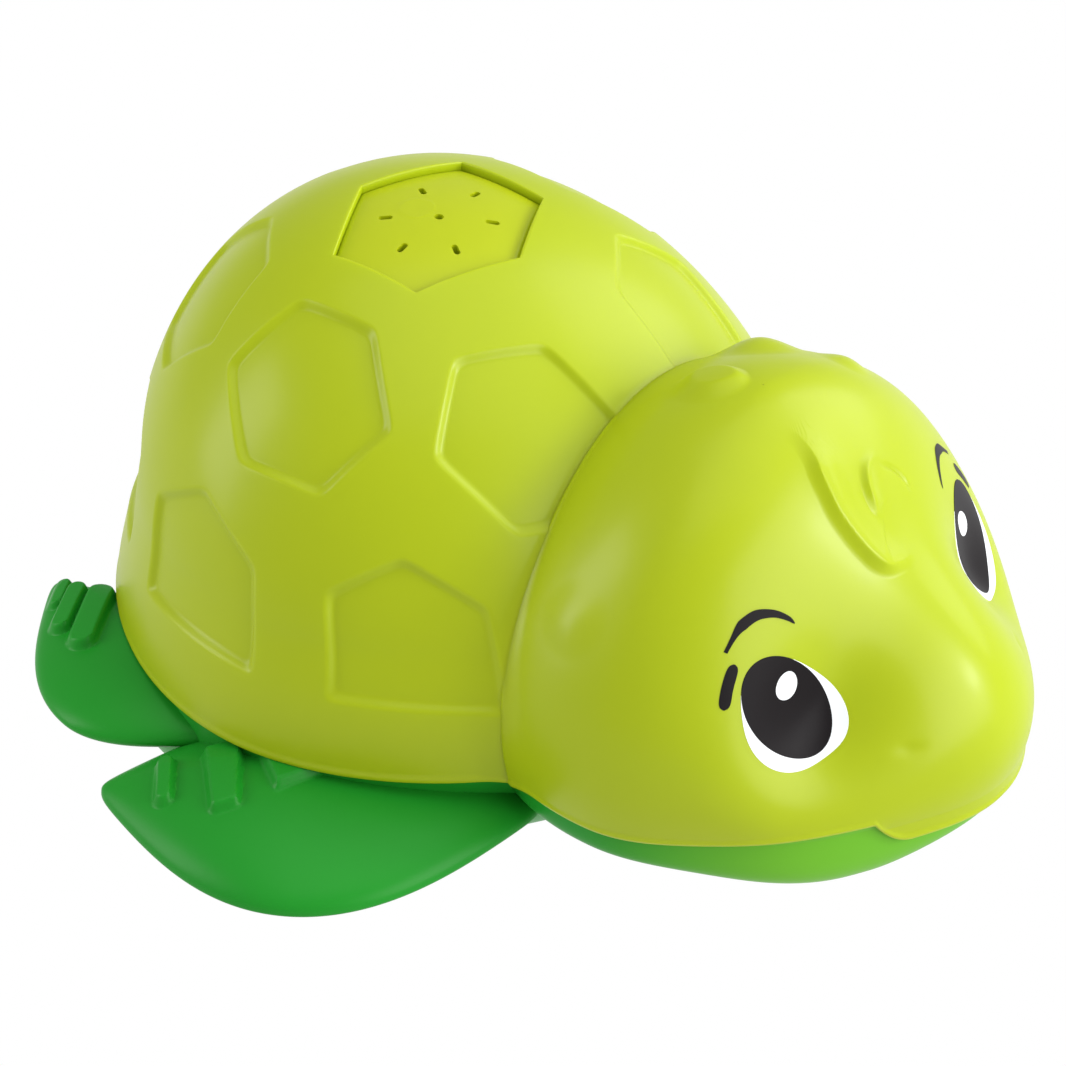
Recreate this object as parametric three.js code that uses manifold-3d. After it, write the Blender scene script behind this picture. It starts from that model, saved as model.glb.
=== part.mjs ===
import * as THREE from 'three';
import Module from 'manifold-3d';

const wasm = await Module();
wasm.setup();

// Sizes are in millimetres. The toy faces -Y, rests on z = 0, and its mirror plane is x = 0.

// General fits
const WALL = 2.4;
const CLEAR = 0.3;

// Shell dome, measured from the rim plane
const RIM_Z = 26;
const DOME_HALF_WIDTH = 61.9;
const DOME_HALF_LENGTH = 57.4;
const DOME_HEIGHT = 68.5;
const DOME_POWER = 2.09;
const DOME_LEAN = 0.22;
const DOME_SHIFT_Y = -4.1;

// Rim flare at the foot of the shell
const RIM_FLARE_SIDE = 2.7;
const RIM_FLARE_END = 2.6;
const RIM_HALF_WIDTH = DOME_HALF_WIDTH + RIM_FLARE_SIDE;
const RIM_HALF_LENGTH = DOME_HALF_LENGTH + RIM_FLARE_END;
const RIM_POWER = 1.9;
const FLARE_HEIGHT = 22;

// Hull below the rim plane
const HULL_STEP = 1.2;
const CHIN_STEP = 0.8;
const BELLY_CUT = 3;
const HULL_DEPTH = RIM_Z + BELLY_CUT;
const HULL_SIDE_POWER = 3.2;
const HULL_END_POWER = 5;
const HULL_SHIFT_Y = 10;

// Head, measured from its own centre
const HEAD_Y = -57;
const HEAD_RISE = 8;
const HEAD_HALF_WIDTH = 50.5;
const HEAD_FRONT = 29.7;
const HEAD_BACK = 44.1;
const HEAD_TOP = 49.6;
const HEAD_PLAN_POWER = 2.02;
const HEAD_SIDE_POWER = 1.78;
const SNOUT_BULGE = 20.1;
const SNOUT_SPREAD = 37.7;
const SNOUT_PITCH = -3.8;
const EYE_DENT = 5;
const EYE_DENT_YAW = 45.5;
const EYE_DENT_PITCH = 8.2;
const EYE_DENT_SPREAD = 13.8;
const BROW_DENT = 6.6;
const BROW_DENT_YAW = 38.2;
const BROW_DENT_PITCH = 15.4;
const BROW_DENT_SPREAD = 18.7;
const CHEEK_BULGE = 10;
const CHEEK_YAW = 45.1;
const CHEEK_PITCH = 2.5;
const CHEEK_SPREAD = 21.5;
const CHIN_DEPTH = 16;
const CHIN_NOSE_DEPTH = 11;
const CHIN_NOSE_YAW = 30;
const CHIN_SIDE_DEPTH = 9.5;
const CHIN_SIDE_START = 35;
const CHIN_SIDE_END = 90;
const CHIN_POWER = 4.5;
const LIP_DROP = 4;
const LIP_START_Y = -93;
const LIP_END_Y = -100;

// Panel recesses of the carapace, as angles seen from the pattern's own centre
const PANEL_DEPTH = 1;
const PANEL_CUT_RISE = 8;
const PATTERN_Y = -6.5;
const RING_FRONT_YAW = 35;
const RING_SIDE_YAW = 90;
const RING_REAR_YAW = 145;
const RING_FRONT_TILT = 3;
const RING_INNER_POLAR = 24.5;
const RING_MID_POLAR = 38.3;
const RING_OUTER_POLAR = 49;
const RING_INNER_SPAN = 15;
const RING_MID_SPAN = 23;
const RING_OUTER_SPAN = 9.2;
const LOW_FRONT_YAW = 65.6;
const LOW_SIDE_YAW = 106.4;
const LOW_REAR_YAW = 144.5;
const LOW_BACK_YAW = 180;
const LOW_TOP_POLAR = 55.2;
const LOW_SHOULDER_POLAR = 62;
const LOW_FOOT_POLAR = 77.4;
const LOW_SPAN = 13.8;
const LOW_REAR_SPAN = 11.8;

// Spray rose in the top panel
const ROSE_Y = 6.4;
const ROSE_SINK = 4.9;
const ROSE_Z = DOME_HEIGHT - ROSE_SINK;
const ROSE_TILT = 5;
const ROSE_HALF_LENGTH = 16.2;
const ROSE_HALF_WIDTH = 18.2;
const ROSE_SHOULDER = 8.4;
const ROSE_PLATE = 2;
const ROSE_STEP = 1.5;
const ROSE_SKIRT = 5.4;
const ROSE_FLANGE = 1.8;
const ROSE_FLANGE_DROP = 3.6;
const ROSE_CHAMBER_RADIUS = 12.6;
const JET_HOLE_RADIUS = 0.8;
const JET_LENGTH = 2.4;
const JET_WIDTH = 1.1;
const JET_SIDE_X = 10.3;
const JET_DIAGONAL_X = 5.2;
const JET_DIAGONAL_Y = 7.1;
const CHAMBER_DEPTH = 7;
const CHAMBER_WALL = 1.6;
const GASKET_HEIGHT = 1.2;
const GASKET_WIDTH = 1.8;
const SPIGOT_LENGTH = 8;

// Water pipe
const PIPE_BORE = 1.6;
const PIPE_WALL = 1.1;
const HOSE_CLEAR = 0.7;
const HOSE_BORE = PIPE_BORE + PIPE_WALL + HOSE_CLEAR;
const HOSE_WALL = 1;
const HOSE_RISE_X = -19;
const HOSE_RISE_Y = -39;
const HOSE_LOW_Z = 22;
const HOSE_HIGH_Z = 42;

// Front flipper, a leaf along a chord from its root to its tip
const FRONT_ROOT_IN = 23.6;
const FRONT_ROOT_X = -RIM_HALF_WIDTH + FRONT_ROOT_IN;
const FRONT_ROOT_Y = -43;
const FRONT_TIP_OUT = 12.9;
const FRONT_TIP_X = -RIM_HALF_WIDTH - FRONT_TIP_OUT;
const FRONT_TIP_Y = 19.5;
const FRONT_OUTER_WIDTH = 27.8;
const FRONT_INNER_WIDTH = 19;
const FRONT_PEAK = 0.05;
const FRONT_DROP = 8;
const FRONT_DROOP = 2.5;
const FRONT_THICKNESS = 4.2;
const FRONT_CROWN = 2.4;
const FRONT_TIP_FALL = 1.6;

// Rear flipper
const REAR_ROOT_IN = 7.6;
const REAR_ROOT_X = -RIM_HALF_WIDTH + REAR_ROOT_IN;
const REAR_ROOT_Y = 5;
const REAR_TIP_IN = 22.6;
const REAR_TIP_X = -RIM_HALF_WIDTH + REAR_TIP_IN;
const REAR_TIP_SHORT = 2;
const REAR_TIP_Y = RIM_HALF_LENGTH - REAR_TIP_SHORT;
const REAR_OUTER_WIDTH = 20.5;
const REAR_INNER_WIDTH = 12;
const REAR_PEAK = -0.15;
const REAR_DROP = 4.6;
const REAR_DROOP = 1.5;
const REAR_THICKNESS = 4;
const REAR_CROWN = 0.6;
const REAR_TIP_FALL = 0.4;

// Raised scales on the flippers
const SCALE_HEIGHT = 2.4;
const SCALE_TIP_OUT = 9;
const SCALE_TIP_X = -RIM_HALF_WIDTH - SCALE_TIP_OUT;
const SCALE_TIP_Y = 9.4;
const SCALE_TIP_DROP = 5.4;
const SCALE_TIP_LENGTH = 6.2;
const SCALE_TIP_WIDTH = 2.4;
const SCALE_TIP_TURN = 31;
const SCALE_MID_OUT = 5;
const SCALE_MID_X = -RIM_HALF_WIDTH - SCALE_MID_OUT;
const SCALE_MID_Y = 1.4;
const SCALE_MID_DROP = 4.6;
const SCALE_MID_LENGTH = 8;
const SCALE_MID_WIDTH = 3.8;
const SCALE_MID_TURN = 39;
const SCALE_REAR_LENGTH = 6.8;
const SCALE_REAR_WIDTH = 2.7;
const SCALE_REAR_TURN = 23;
const SCALE_BACK_IN = 15.4;
const SCALE_BACK_X = -RIM_HALF_WIDTH + SCALE_BACK_IN;
const SCALE_BACK_SHORT = 10.6;
const SCALE_BACK_Y = RIM_HALF_LENGTH - SCALE_BACK_SHORT;
const SCALE_BACK_DROP = 1.8;
const SCALE_FORE_IN = 14.4;
const SCALE_FORE_X = -RIM_HALF_WIDTH + SCALE_FORE_IN;
const SCALE_FORE_SHORT = 16.8;
const SCALE_FORE_Y = RIM_HALF_LENGTH - SCALE_FORE_SHORT;
const SCALE_FORE_DROP = 1.4;

// Pump and motor stack on one upright axis
const PUMP_Y = -15;
const PUMP_RADIUS = 13.4;
const PUMP_WALL = 1.8;
const PUMP_HEIGHT = 10.4;
const PUMP_INLET_RADIUS = 4.5;
const PUMP_OUTLET_YAW = -125;
const PUMP_OUTLET_REACH = 20;
const PUMP_OUTLET_RISE = 6.4;
const IMPELLER_RADIUS = 9;
const IMPELLER_HUB = 3;
const IMPELLER_DISC = 1.2;
const IMPELLER_BLADE_HEIGHT = 4;
const IMPELLER_BLADE_WIDTH = 1.2;
const IMPELLER_BLADES = 5;
const SHAFT_RADIUS = 1;
const SEAL_RADIUS = 2.6;
const COVER_THICKNESS = 2;
const MOTOR_RADIUS = 12;
const MOTOR_HEIGHT = 25;
const MOTOR_BOSS_RADIUS = 4;
const MOTOR_BOSS_HEIGHT = 1.6;
const CRADLE_WALL = 1.8;
const CRADLE_HEIGHT = 14;
const CRADLE_FOOT = 1.6;
const EAR_X = 18.5;
const EAR_RADIUS = 3.6;
const GRILLE_RADIUS = 9.7;
const GRILLE_THICKNESS = 1.6;
const GRILLE_SLOT = 1.6;
const GRILLE_PITCH = 3.2;
const GRILLE_SLOTS = 5;

// Battery compartment with three cells lying across the toy
const BATTERY_Y = 21.5;
const CELL_RADIUS = 5.2;
const CELL_LENGTH = 44.5;
const CELL_NUB_RADIUS = 1.9;
const CELL_NUB_LENGTH = 0.9;
const CELL_GAP = 0.7;
const CELL_PITCH = 2 * CELL_RADIUS + CELL_GAP;
const BAY_SIDE_GAP = 1;
const CONTACT_THICKNESS = 0.4;
const SPRING_ROOM = 4.5;
const BAY_LENGTH = CELL_LENGTH + SPRING_ROOM + 2 * (CONTACT_THICKNESS + 2 * CLEAR);
const BAY_WIDTH = 2 * (CELL_PITCH + CELL_RADIUS + BAY_SIDE_GAP);
const BAY_TOP = 15;
const BAY_CORNER = 2;
const BOX_WALL = 2;
const BOX_FLANGE = 2.6;
const BOX_FLANGE_HEIGHT = 1.8;
const DOOR_LEDGE = 1.7;
const DOOR_CORNER = 4;
const DOOR_THICKNESS = 1.7;
const DOOR_TAB_REACH = 12.4;
const DOOR_TAB_RADIUS = 5.2;
const DOOR_TAB_THICKNESS = 3.4;
const DOOR_SCREW_SINK = 0.3;
const DOOR_GASKET = 0.5;
const DOOR_SCREW_LENGTH = 6;
const CONTACT_HEIGHT = 8;
const CONTACT_WIDTH = 8.4;
const SPRING_RADIUS = 2.8;
const SPRING_WIRE = 0.35;
const SPRING_TURNS = 3;

// Power button, its board and its switch
const BUTTON_X = 30;
const BUTTON_Y = -12;
const BUTTON_RADIUS = 4.8;
const BUTTON_FLANGE = 6.4;
const BUTTON_FLANGE_HEIGHT = 1.4;
const BUTTON_TOP = 5.2;
const BUTTON_INSET = 0.4;
const SLEEVE_RADIUS = 6.9;
const SLEEVE_WALL = 1.4;
const SLEEVE_TOP = 9.7;
const BOARD_LENGTH = 15.6;
const BOARD_WIDTH = 18;
const BOARD_THICKNESS = 1.2;
const SWITCH_SIZE = 6;
const SWITCH_HEIGHT = 3;
const SWITCH_PLUNGER_RADIUS = 1.5;
const SWITCH_PLUNGER = 0.3;

// Screws
const SCREW_RADIUS = 1.4;
const SCREW_HEAD_RADIUS = 2.7;
const SCREW_HEAD_HEIGHT = 1.8;
const SCREW_SLOT_WIDTH = 0.8;
const SCREW_SLOT_DEPTH = 0.9;
const HOUSING_SCREW_LENGTH = 18;
const HOUSING_FRONT_X = 40;
const HOUSING_FRONT_Y = -26;
const HOUSING_REAR_X = 42;
const HOUSING_REAR_Y = 22;
const BOSS_WALL = 1.6;
const BOSS_SHELF_Z = 19;
const POST_REACH = 14;
const PUMP_SCREW_LENGTH = 9;

// Mesh fineness
const ROUND_STEPS = 18;
const SMALL_STEPS = 10;
const DOME_AROUND = 44;
const DOME_ROWS = 26;
const HULL_AROUND = 40;
const HULL_ROWS = 16;
const HEAD_AROUND = 36;
const HEAD_ROWS = 24;
const MESH_TOLERANCE = 0.05;

// Colours
const LIME = 0xb4c822;
const GREEN = 0x2f9a32;
const DARK = 0x33363a;
const PALE = 0xd9dcd2;
const METAL = 0xb9bcc0;
const RUBBER = 0x4a4d50;
const BOARD_GREEN = 0x1f6b3a;
const CELL_COLOUR = 0x8a8f96;

// Turning surfaces into closed solids

function rad(degrees) {
  return degrees * Math.PI / 180;
}

function weld(geometry) {
  const source = geometry.attributes.position;
  const index = geometry.index;
  const count = index ? index.count : source.count;
  const seen = new Map();
  const points = [];
  const remap = [];
  for (let i = 0; i < source.count; i += 1) {
    const p = [source.getX(i), source.getY(i), source.getZ(i)];
    const key = p.map((v) => Math.round(v * 1e4)).join(' ');
    if (!seen.has(key)) {
      seen.set(key, points.length);
      points.push(p);
    }
    remap.push(seen.get(key));
  }
  const faces = [];
  for (let i = 0; i < count; i += 3) {
    const f = [i, i + 1, i + 2].map((k) => remap[index ? index.getX(k) : k]);
    if (f[0] !== f[1] && f[1] !== f[2] && f[2] !== f[0]) faces.push(f);
  }
  return { points, faces };
}

function signedVolume(points, faces) {
  const a = new THREE.Vector3();
  const b = new THREE.Vector3();
  const c = new THREE.Vector3();
  let total = 0;
  for (const f of faces) {
    a.fromArray(points[f[0]]);
    b.fromArray(points[f[1]]);
    c.fromArray(points[f[2]]);
    total += a.dot(b.cross(c));
  }
  return total / 6;
}

function solid(geometry) {
  const { points, faces } = weld(geometry);
  const turned = signedVolume(points, faces) < 0;
  const ordered = faces.map((f) => (turned ? [f[0], f[2], f[1]] : f));
  return new wasm.Manifold(new wasm.Mesh({
    numProp: 3,
    vertProperties: new Float32Array(points.flat()),
    triVerts: new Uint32Array(ordered.flat()),
  }));
}

// A sphere whose every direction is sent to a point of the wanted surface
function mapped(around, upDown, place) {
  const geometry = new THREE.SphereGeometry(1, around, upDown);
  geometry.rotateX(Math.PI / 2);
  const position = geometry.attributes.position;
  const d = new THREE.Vector3();
  for (let i = 0; i < position.count; i += 1) {
    d.fromBufferAttribute(position, i).normalize();
    const p = place(d);
    position.setXYZ(i, p.x, p.y, p.z);
  }
  return solid(geometry);
}

function cylinder(radius, z0, z1, x = 0, y = 0, steps = ROUND_STEPS) {
  const geometry = new THREE.CylinderGeometry(radius, radius, z1 - z0, steps);
  geometry.rotateX(Math.PI / 2);
  geometry.translate(x, y, (z0 + z1) / 2);
  return solid(geometry);
}

function block(x0, x1, y0, y1, z0, z1) {
  const geometry = new THREE.BoxGeometry(x1 - x0, y1 - y0, z1 - z0);
  geometry.translate((x0 + x1) / 2, (y0 + y1) / 2, (z0 + z1) / 2);
  return solid(geometry);
}

function ring(outer, inner, z0, z1, x = 0, y = 0, steps = ROUND_STEPS) {
  return cylinder(outer, z0, z1, x, y, steps).subtract(cylinder(inner, z0 - 1, z1 + 1, x, y, steps));
}

function prism(shape, z0, z1, curveSegments = 4) {
  const options = { depth: z1 - z0, bevelEnabled: false, curveSegments };
  const geometry = new THREE.ExtrudeGeometry(shape, options);
  geometry.translate(0, 0, z0);
  return solid(geometry);
}

function roundedRectangle(width, height, corner, cx, cy) {
  const shape = new THREE.Shape();
  const x = width / 2;
  const y = height / 2;
  const r = corner;
  shape.absarc(cx + x - r, cy + y - r, r, 0, Math.PI / 2, false);
  shape.absarc(cx - x + r, cy + y - r, r, Math.PI / 2, Math.PI, false);
  shape.absarc(cx - x + r, cy - y + r, r, Math.PI, Math.PI * 1.5, false);
  shape.absarc(cx + x - r, cy - y + r, r, Math.PI * 1.5, Math.PI * 2, false);
  return shape;
}

function sweep(curve, radius, steps, sides) {
  const tube = new THREE.TubeGeometry(curve, steps, radius, sides, false);
  const { points, faces } = weld(tube);
  const position = tube.attributes.position;
  for (const [row, t, sign] of [[0, 0, -1], [steps, 1, 1]]) {
    const centre = curve.getPointAt(t);
    const tangent = curve.getTangentAt(t).multiplyScalar(sign);
    const middle = points.length;
    points.push(centre.toArray());
    for (let j = 0; j < sides; j += 1) {
      const corners = [0, 1].map((k) => {
        const p = new THREE.Vector3().fromBufferAttribute(position, row * (sides + 1) + j + k);
        return points.findIndex((q) => p.distanceTo(new THREE.Vector3().fromArray(q)) < 2e-4);
      });
      const a = new THREE.Vector3().fromArray(points[corners[0]]).sub(centre);
      const b = new THREE.Vector3().fromArray(points[corners[1]]).sub(centre);
      const facing = a.cross(b).dot(tangent) > 0;
      faces.push(facing ? [middle, corners[0], corners[1]] : [middle, corners[1], corners[0]]);
    }
  }
  const geometry = new THREE.BufferGeometry();
  geometry.setAttribute('position', new THREE.Float32BufferAttribute(points.flat(), 3));
  geometry.setIndex(faces.flat());
  return solid(geometry);
}

// A closed skin over a rectangle of two parameters, each from -1 to 1
function pillow(columns, rows, place) {
  const points = [];
  const faces = [];
  const at = (side, i, j) => side * (columns + 1) * (rows + 1) + j * (columns + 1) + i;
  for (const side of [1, -1]) {
    for (let j = 0; j <= rows; j += 1) {
      for (let i = 0; i <= columns; i += 1) {
        points.push(place(-1 + 2 * i / columns, -1 + 2 * j / rows, side).toArray());
      }
    }
  }
  for (let j = 0; j < rows; j += 1) {
    for (let i = 0; i < columns; i += 1) {
      faces.push([at(0, i, j), at(0, i + 1, j), at(0, i + 1, j + 1)]);
      faces.push([at(0, i, j), at(0, i + 1, j + 1), at(0, i, j + 1)]);
      faces.push([at(1, i, j), at(1, i + 1, j + 1), at(1, i + 1, j)]);
      faces.push([at(1, i, j), at(1, i, j + 1), at(1, i + 1, j + 1)]);
    }
  }
  const geometry = new THREE.BufferGeometry();
  geometry.setAttribute('position', new THREE.Float32BufferAttribute(points.flat(), 3));
  geometry.setIndex(faces.flat());
  return solid(geometry);
}

function mirrored(body) {
  return body.mirror([1, 0, 0]);
}

// Carapace and hull surfaces

function power(value, exponent) {
  return Math.sign(value) * Math.abs(value) ** exponent;
}

function smooth(t) {
  const k = Math.min(1, Math.max(0, t));
  return k * k * (3 - 2 * k);
}

function rimPoint(yaw, inset) {
  const side = power(Math.sin(yaw), 2 / RIM_POWER);
  const ahead = power(Math.cos(yaw), 2 / RIM_POWER);
  return new THREE.Vector3(side * (RIM_HALF_WIDTH - inset), -ahead * (RIM_HALF_LENGTH - inset), 0);
}

function domePoint(yaw, rise, inset) {
  const spread = Math.cos(rise) ** (2 / DOME_POWER);
  const z = Math.sin(rise) ** (2 / DOME_POWER) * (DOME_HEIGHT - inset);
  const x = Math.sin(yaw) * spread * (DOME_HALF_WIDTH - inset);
  const y = DOME_SHIFT_Y + DOME_LEAN * z - Math.cos(yaw) * spread * (DOME_HALF_LENGTH - inset);
  const flare = smooth((FLARE_HEIGHT - z) / FLARE_HEIGHT);
  return new THREE.Vector3(x, y, z).lerp(rimPoint(yaw, inset).setZ(z), flare).setZ(RIM_Z + z);
}

function hullPoint(yaw, fall, inset) {
  const rim = rimPoint(yaw, inset + HULL_STEP);
  const narrow = Math.cos(fall) ** (2 / HULL_SIDE_POWER);
  const shorten = Math.cos(fall) ** (2 / HULL_END_POWER);
  const depth = Math.sin(fall) ** (2 / HULL_SIDE_POWER) * (HULL_DEPTH - inset);
  const shift = HULL_SHIFT_Y * depth / RIM_Z;
  return new THREE.Vector3(rim.x * narrow, rim.y * shorten + shift, RIM_Z - depth);
}

function carapace(inset) {
  return mapped(DOME_AROUND, DOME_ROWS, (d) => {
    const yaw = Math.atan2(d.x, -d.y);
    const rise = Math.asin(Math.min(1, Math.max(-1, d.z)));
    const edge = rimPoint(yaw, inset);
    return rise >= -1e-6 ? domePoint(yaw, Math.max(0, rise), inset) : edge.setZ(RIM_Z + rise * 4);
  });
}

function belly(inset) {
  return mapped(HULL_AROUND, HULL_ROWS, (d) => {
    const yaw = Math.atan2(d.x, -d.y);
    const rise = Math.asin(Math.min(1, Math.max(-1, d.z)));
    const edge = rimPoint(yaw, inset + HULL_STEP);
    return rise <= 1e-6 ? hullPoint(yaw, Math.max(0, -rise), inset) : edge.setZ(RIM_Z + rise * 4);
  });
}

// Head surface

function heading(yaw, pitch) {
  const a = rad(yaw);
  const e = rad(pitch);
  return new THREE.Vector3(Math.sin(a) * Math.cos(e), -Math.cos(a) * Math.cos(e), Math.sin(e));
}

function bump(d, centre, spread) {
  const angle = Math.acos(Math.min(1, Math.max(-1, d.dot(centre))));
  return Math.exp(-((angle / rad(spread)) ** 2));
}

const SNOUT = heading(0, SNOUT_PITCH);
const EYE_HOLLOW = heading(EYE_DENT_YAW, EYE_DENT_PITCH);
const BROW_HOLLOW = heading(BROW_DENT_YAW, BROW_DENT_PITCH);
const CHEEK = heading(CHEEK_YAW, CHEEK_PITCH);

function headRadius(d) {
  const reach = d.y < 0 ? HEAD_FRONT : HEAD_BACK;
  const planX = Math.abs(d.x / HEAD_HALF_WIDTH) ** HEAD_PLAN_POWER;
  const planY = Math.abs(d.y / reach) ** HEAD_PLAN_POWER;
  const plan = (planX + planY) ** (HEAD_SIDE_POWER / HEAD_PLAN_POWER);
  const up = Math.abs(d.z / HEAD_TOP) ** HEAD_SIDE_POWER;
  const folded = new THREE.Vector3(Math.abs(d.x), d.y, d.z);
  let r = (plan + up) ** (-1 / HEAD_SIDE_POWER);
  r += SNOUT_BULGE * bump(d, SNOUT, SNOUT_SPREAD);
  r -= EYE_DENT * bump(folded, EYE_HOLLOW, EYE_DENT_SPREAD);
  r -= BROW_DENT * bump(folded, BROW_HOLLOW, BROW_DENT_SPREAD);
  r += CHEEK_BULGE * bump(folded, CHEEK, CHEEK_SPREAD);
  return r;
}

// The pitch at which the head meets the rim plane, for a yaw in degrees
function rimPitch(yaw) {
  let low = -60;
  let high = 0;
  for (let i = 0; i < 40; i += 1) {
    const pitch = (low + high) / 2;
    const d = heading(yaw, pitch);
    if (HEAD_RISE + headRadius(d) * d.z < 0) low = pitch;
    else high = pitch;
  }
  return high;
}

function chinDepth(yaw) {
  const turn = Math.abs(yaw);
  const nose = CHIN_NOSE_DEPTH + (CHIN_DEPTH - CHIN_NOSE_DEPTH) * smooth(turn / CHIN_NOSE_YAW);
  const side = smooth((turn - CHIN_SIDE_START) / (CHIN_SIDE_END - CHIN_SIDE_START));
  return nose + (CHIN_SIDE_DEPTH - CHIN_DEPTH) * side;
}

function headPoint(d, inset) {
  const yaw = Math.atan2(d.x, -d.y) * 180 / Math.PI;
  const pitch = Math.asin(Math.min(1, Math.max(-1, d.z))) * 180 / Math.PI;
  const rim = rimPitch(yaw);
  if (pitch >= rim) {
    const r = headRadius(d) - inset;
    return new THREE.Vector3(r * d.x, HEAD_Y + r * d.y, RIM_Z + HEAD_RISE + r * d.z);
  }
  const edge = heading(yaw, rim);
  const reach = headRadius(edge) - inset;
  const fall = rad(90 * (rim - pitch) / (rim + 90));
  const spread = Math.max(0, Math.cos(fall)) ** (2 / CHIN_POWER);
  const depth = Math.sin(fall) ** (2 / CHIN_POWER) * (chinDepth(yaw) - inset);
  const z = RIM_Z + HEAD_RISE + reach * edge.z - depth;
  return new THREE.Vector3(reach * edge.x * spread, HEAD_Y + reach * edge.y * spread, z);
}

function headBody(inset) {
  return mapped(HEAD_AROUND, HEAD_ROWS, (d) => headPoint(d, inset));
}

// Parting surface: everything below the rim plane, with the upper lip dipping at the mouth
function belowParting(drop) {
  const far = 200;
  const shape = new THREE.Shape();
  shape.moveTo(far, RIM_Z - drop);
  shape.lineTo(LIP_START_Y, RIM_Z - drop);
  shape.lineTo((LIP_START_Y + LIP_END_Y) / 2, RIM_Z - LIP_DROP / 2 - drop);
  shape.lineTo(LIP_END_Y, RIM_Z - LIP_DROP - drop);
  shape.lineTo(-far, RIM_Z - LIP_DROP - drop);
  shape.lineTo(-far, -far);
  shape.lineTo(far, -far);
  const geometry = new THREE.ExtrudeGeometry(shape, { depth: 2 * far, bevelEnabled: false });
  geometry.translate(0, 0, -far);
  geometry.rotateX(Math.PI / 2);
  geometry.rotateZ(Math.PI / 2);
  return solid(geometry);
}

// Panel recesses

function leaning(p) {
  return new THREE.Vector3(p.x, p.y + DOME_LEAN * p.z, p.z);
}

function domeDepth(p) {
  const x = p.x / DOME_HALF_WIDTH;
  const y = (p.y - DOME_SHIFT_Y) / DOME_HALF_LENGTH;
  const z = p.z / DOME_HEIGHT;
  return Math.hypot(x, y) ** DOME_POWER + Math.abs(z) ** DOME_POWER;
}

function patternPoint(d, offset) {
  let near = 0;
  let far = 200;
  for (let i = 0; i < 40; i += 1) {
    const t = (near + far) / 2;
    const p = new THREE.Vector3(d.x * t, PATTERN_Y + d.y * t, d.z * t);
    if (domeDepth(p) < 1) near = t;
    else far = t;
  }
  const flat = new THREE.Vector3(d.x * near, PATTERN_Y + d.y * near, d.z * near);
  const yaw = Math.atan2(flat.x / DOME_HALF_WIDTH, (DOME_SHIFT_Y - flat.y) / DOME_HALF_LENGTH);
  const p = leaning(flat);
  const flare = smooth((FLARE_HEIGHT - p.z) / FLARE_HEIGHT);
  p.lerp(rimPoint(yaw, 0).setZ(p.z), flare).addScaledVector(d, offset);
  return p.setZ(p.z + RIM_Z);
}

function panelCutter(corners, edgeSteps, rings) {
  const directions = corners.map(([yaw, polar]) => heading(yaw, 90 - polar));
  const middle = new THREE.Vector3();
  directions.forEach((d) => middle.add(d));
  middle.normalize();
  const border = [];
  directions.forEach((d, k) => {
    const next = directions[(k + 1) % directions.length];
    for (let s = 0; s < edgeSteps; s += 1) border.push(d.clone().lerp(next, s / edgeSteps).normalize());
  });
  const points = [];
  const faces = [];
  for (const offset of [PANEL_CUT_RISE, -PANEL_DEPTH]) {
    points.push(patternPoint(middle, offset).toArray());
    for (let r = 1; r <= rings; r += 1) {
      border.forEach((d) => {
        const direction = middle.clone().lerp(d, r / rings).normalize();
        points.push(patternPoint(direction, offset).toArray());
      });
    }
  }
  const n = border.length;
  const layer = 1 + rings * n;
  for (const side of [0, 1]) {
    const base = side * layer;
    const put = (a, b, c) => faces.push(side ? [a, c, b] : [a, b, c]);
    for (let j = 0; j < n; j += 1) {
      const k = (j + 1) % n;
      put(base, base + 1 + j, base + 1 + k);
      for (let r = 1; r < rings; r += 1) {
        const low = base + 1 + (r - 1) * n;
        const high = base + 1 + r * n;
        put(low + j, high + j, high + k);
        put(low + j, high + k, low + k);
      }
    }
  }
  const edge = 1 + (rings - 1) * n;
  for (let j = 0; j < n; j += 1) {
    const k = (j + 1) % n;
    faces.push([edge + j, layer + edge + j, layer + edge + k]);
    faces.push([edge + j, layer + edge + k, edge + k]);
  }
  const geometry = new THREE.BufferGeometry();
  geometry.setAttribute('position', new THREE.Float32BufferAttribute(points.flat(), 3));
  geometry.setIndex(faces.flat());
  return solid(geometry);
}

function ringPanel(yaw, tilt) {
  const inner = RING_INNER_POLAR + tilt;
  const mid = RING_MID_POLAR + tilt;
  const outer = RING_OUTER_POLAR + tilt;
  return panelCutter([
    [yaw - RING_INNER_SPAN, inner],
    [yaw + RING_INNER_SPAN, inner],
    [yaw + RING_MID_SPAN, mid],
    [yaw + RING_OUTER_SPAN, outer],
    [yaw - RING_OUTER_SPAN, outer],
    [yaw - RING_MID_SPAN, mid],
  ], 2, 2);
}

function lowPanel(yaw, span) {
  return panelCutter([
    [yaw, LOW_TOP_POLAR],
    [yaw + span, LOW_SHOULDER_POLAR],
    [yaw + span, LOW_FOOT_POLAR],
    [yaw - span, LOW_FOOT_POLAR],
    [yaw - span, LOW_SHOULDER_POLAR],
  ], 2, 2);
}

function panels() {
  const right = [
    ringPanel(RING_FRONT_YAW, RING_FRONT_TILT),
    ringPanel(RING_SIDE_YAW, 0),
    ringPanel(RING_REAR_YAW, 0),
    lowPanel(LOW_FRONT_YAW, LOW_SPAN),
    lowPanel(LOW_SIDE_YAW, LOW_SPAN),
    lowPanel(LOW_REAR_YAW, LOW_REAR_SPAN),
  ];
  return [...right, ...right.map(mirrored), lowPanel(LOW_BACK_YAW, LOW_REAR_SPAN)];
}

// Spray rose frame: tilted with the top of the shell, its face crowned like the shell

function onRose(body) {
  return body.rotate([ROSE_TILT, 0, 0]).translate([0, ROSE_Y, RIM_Z + ROSE_Z]);
}

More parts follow.
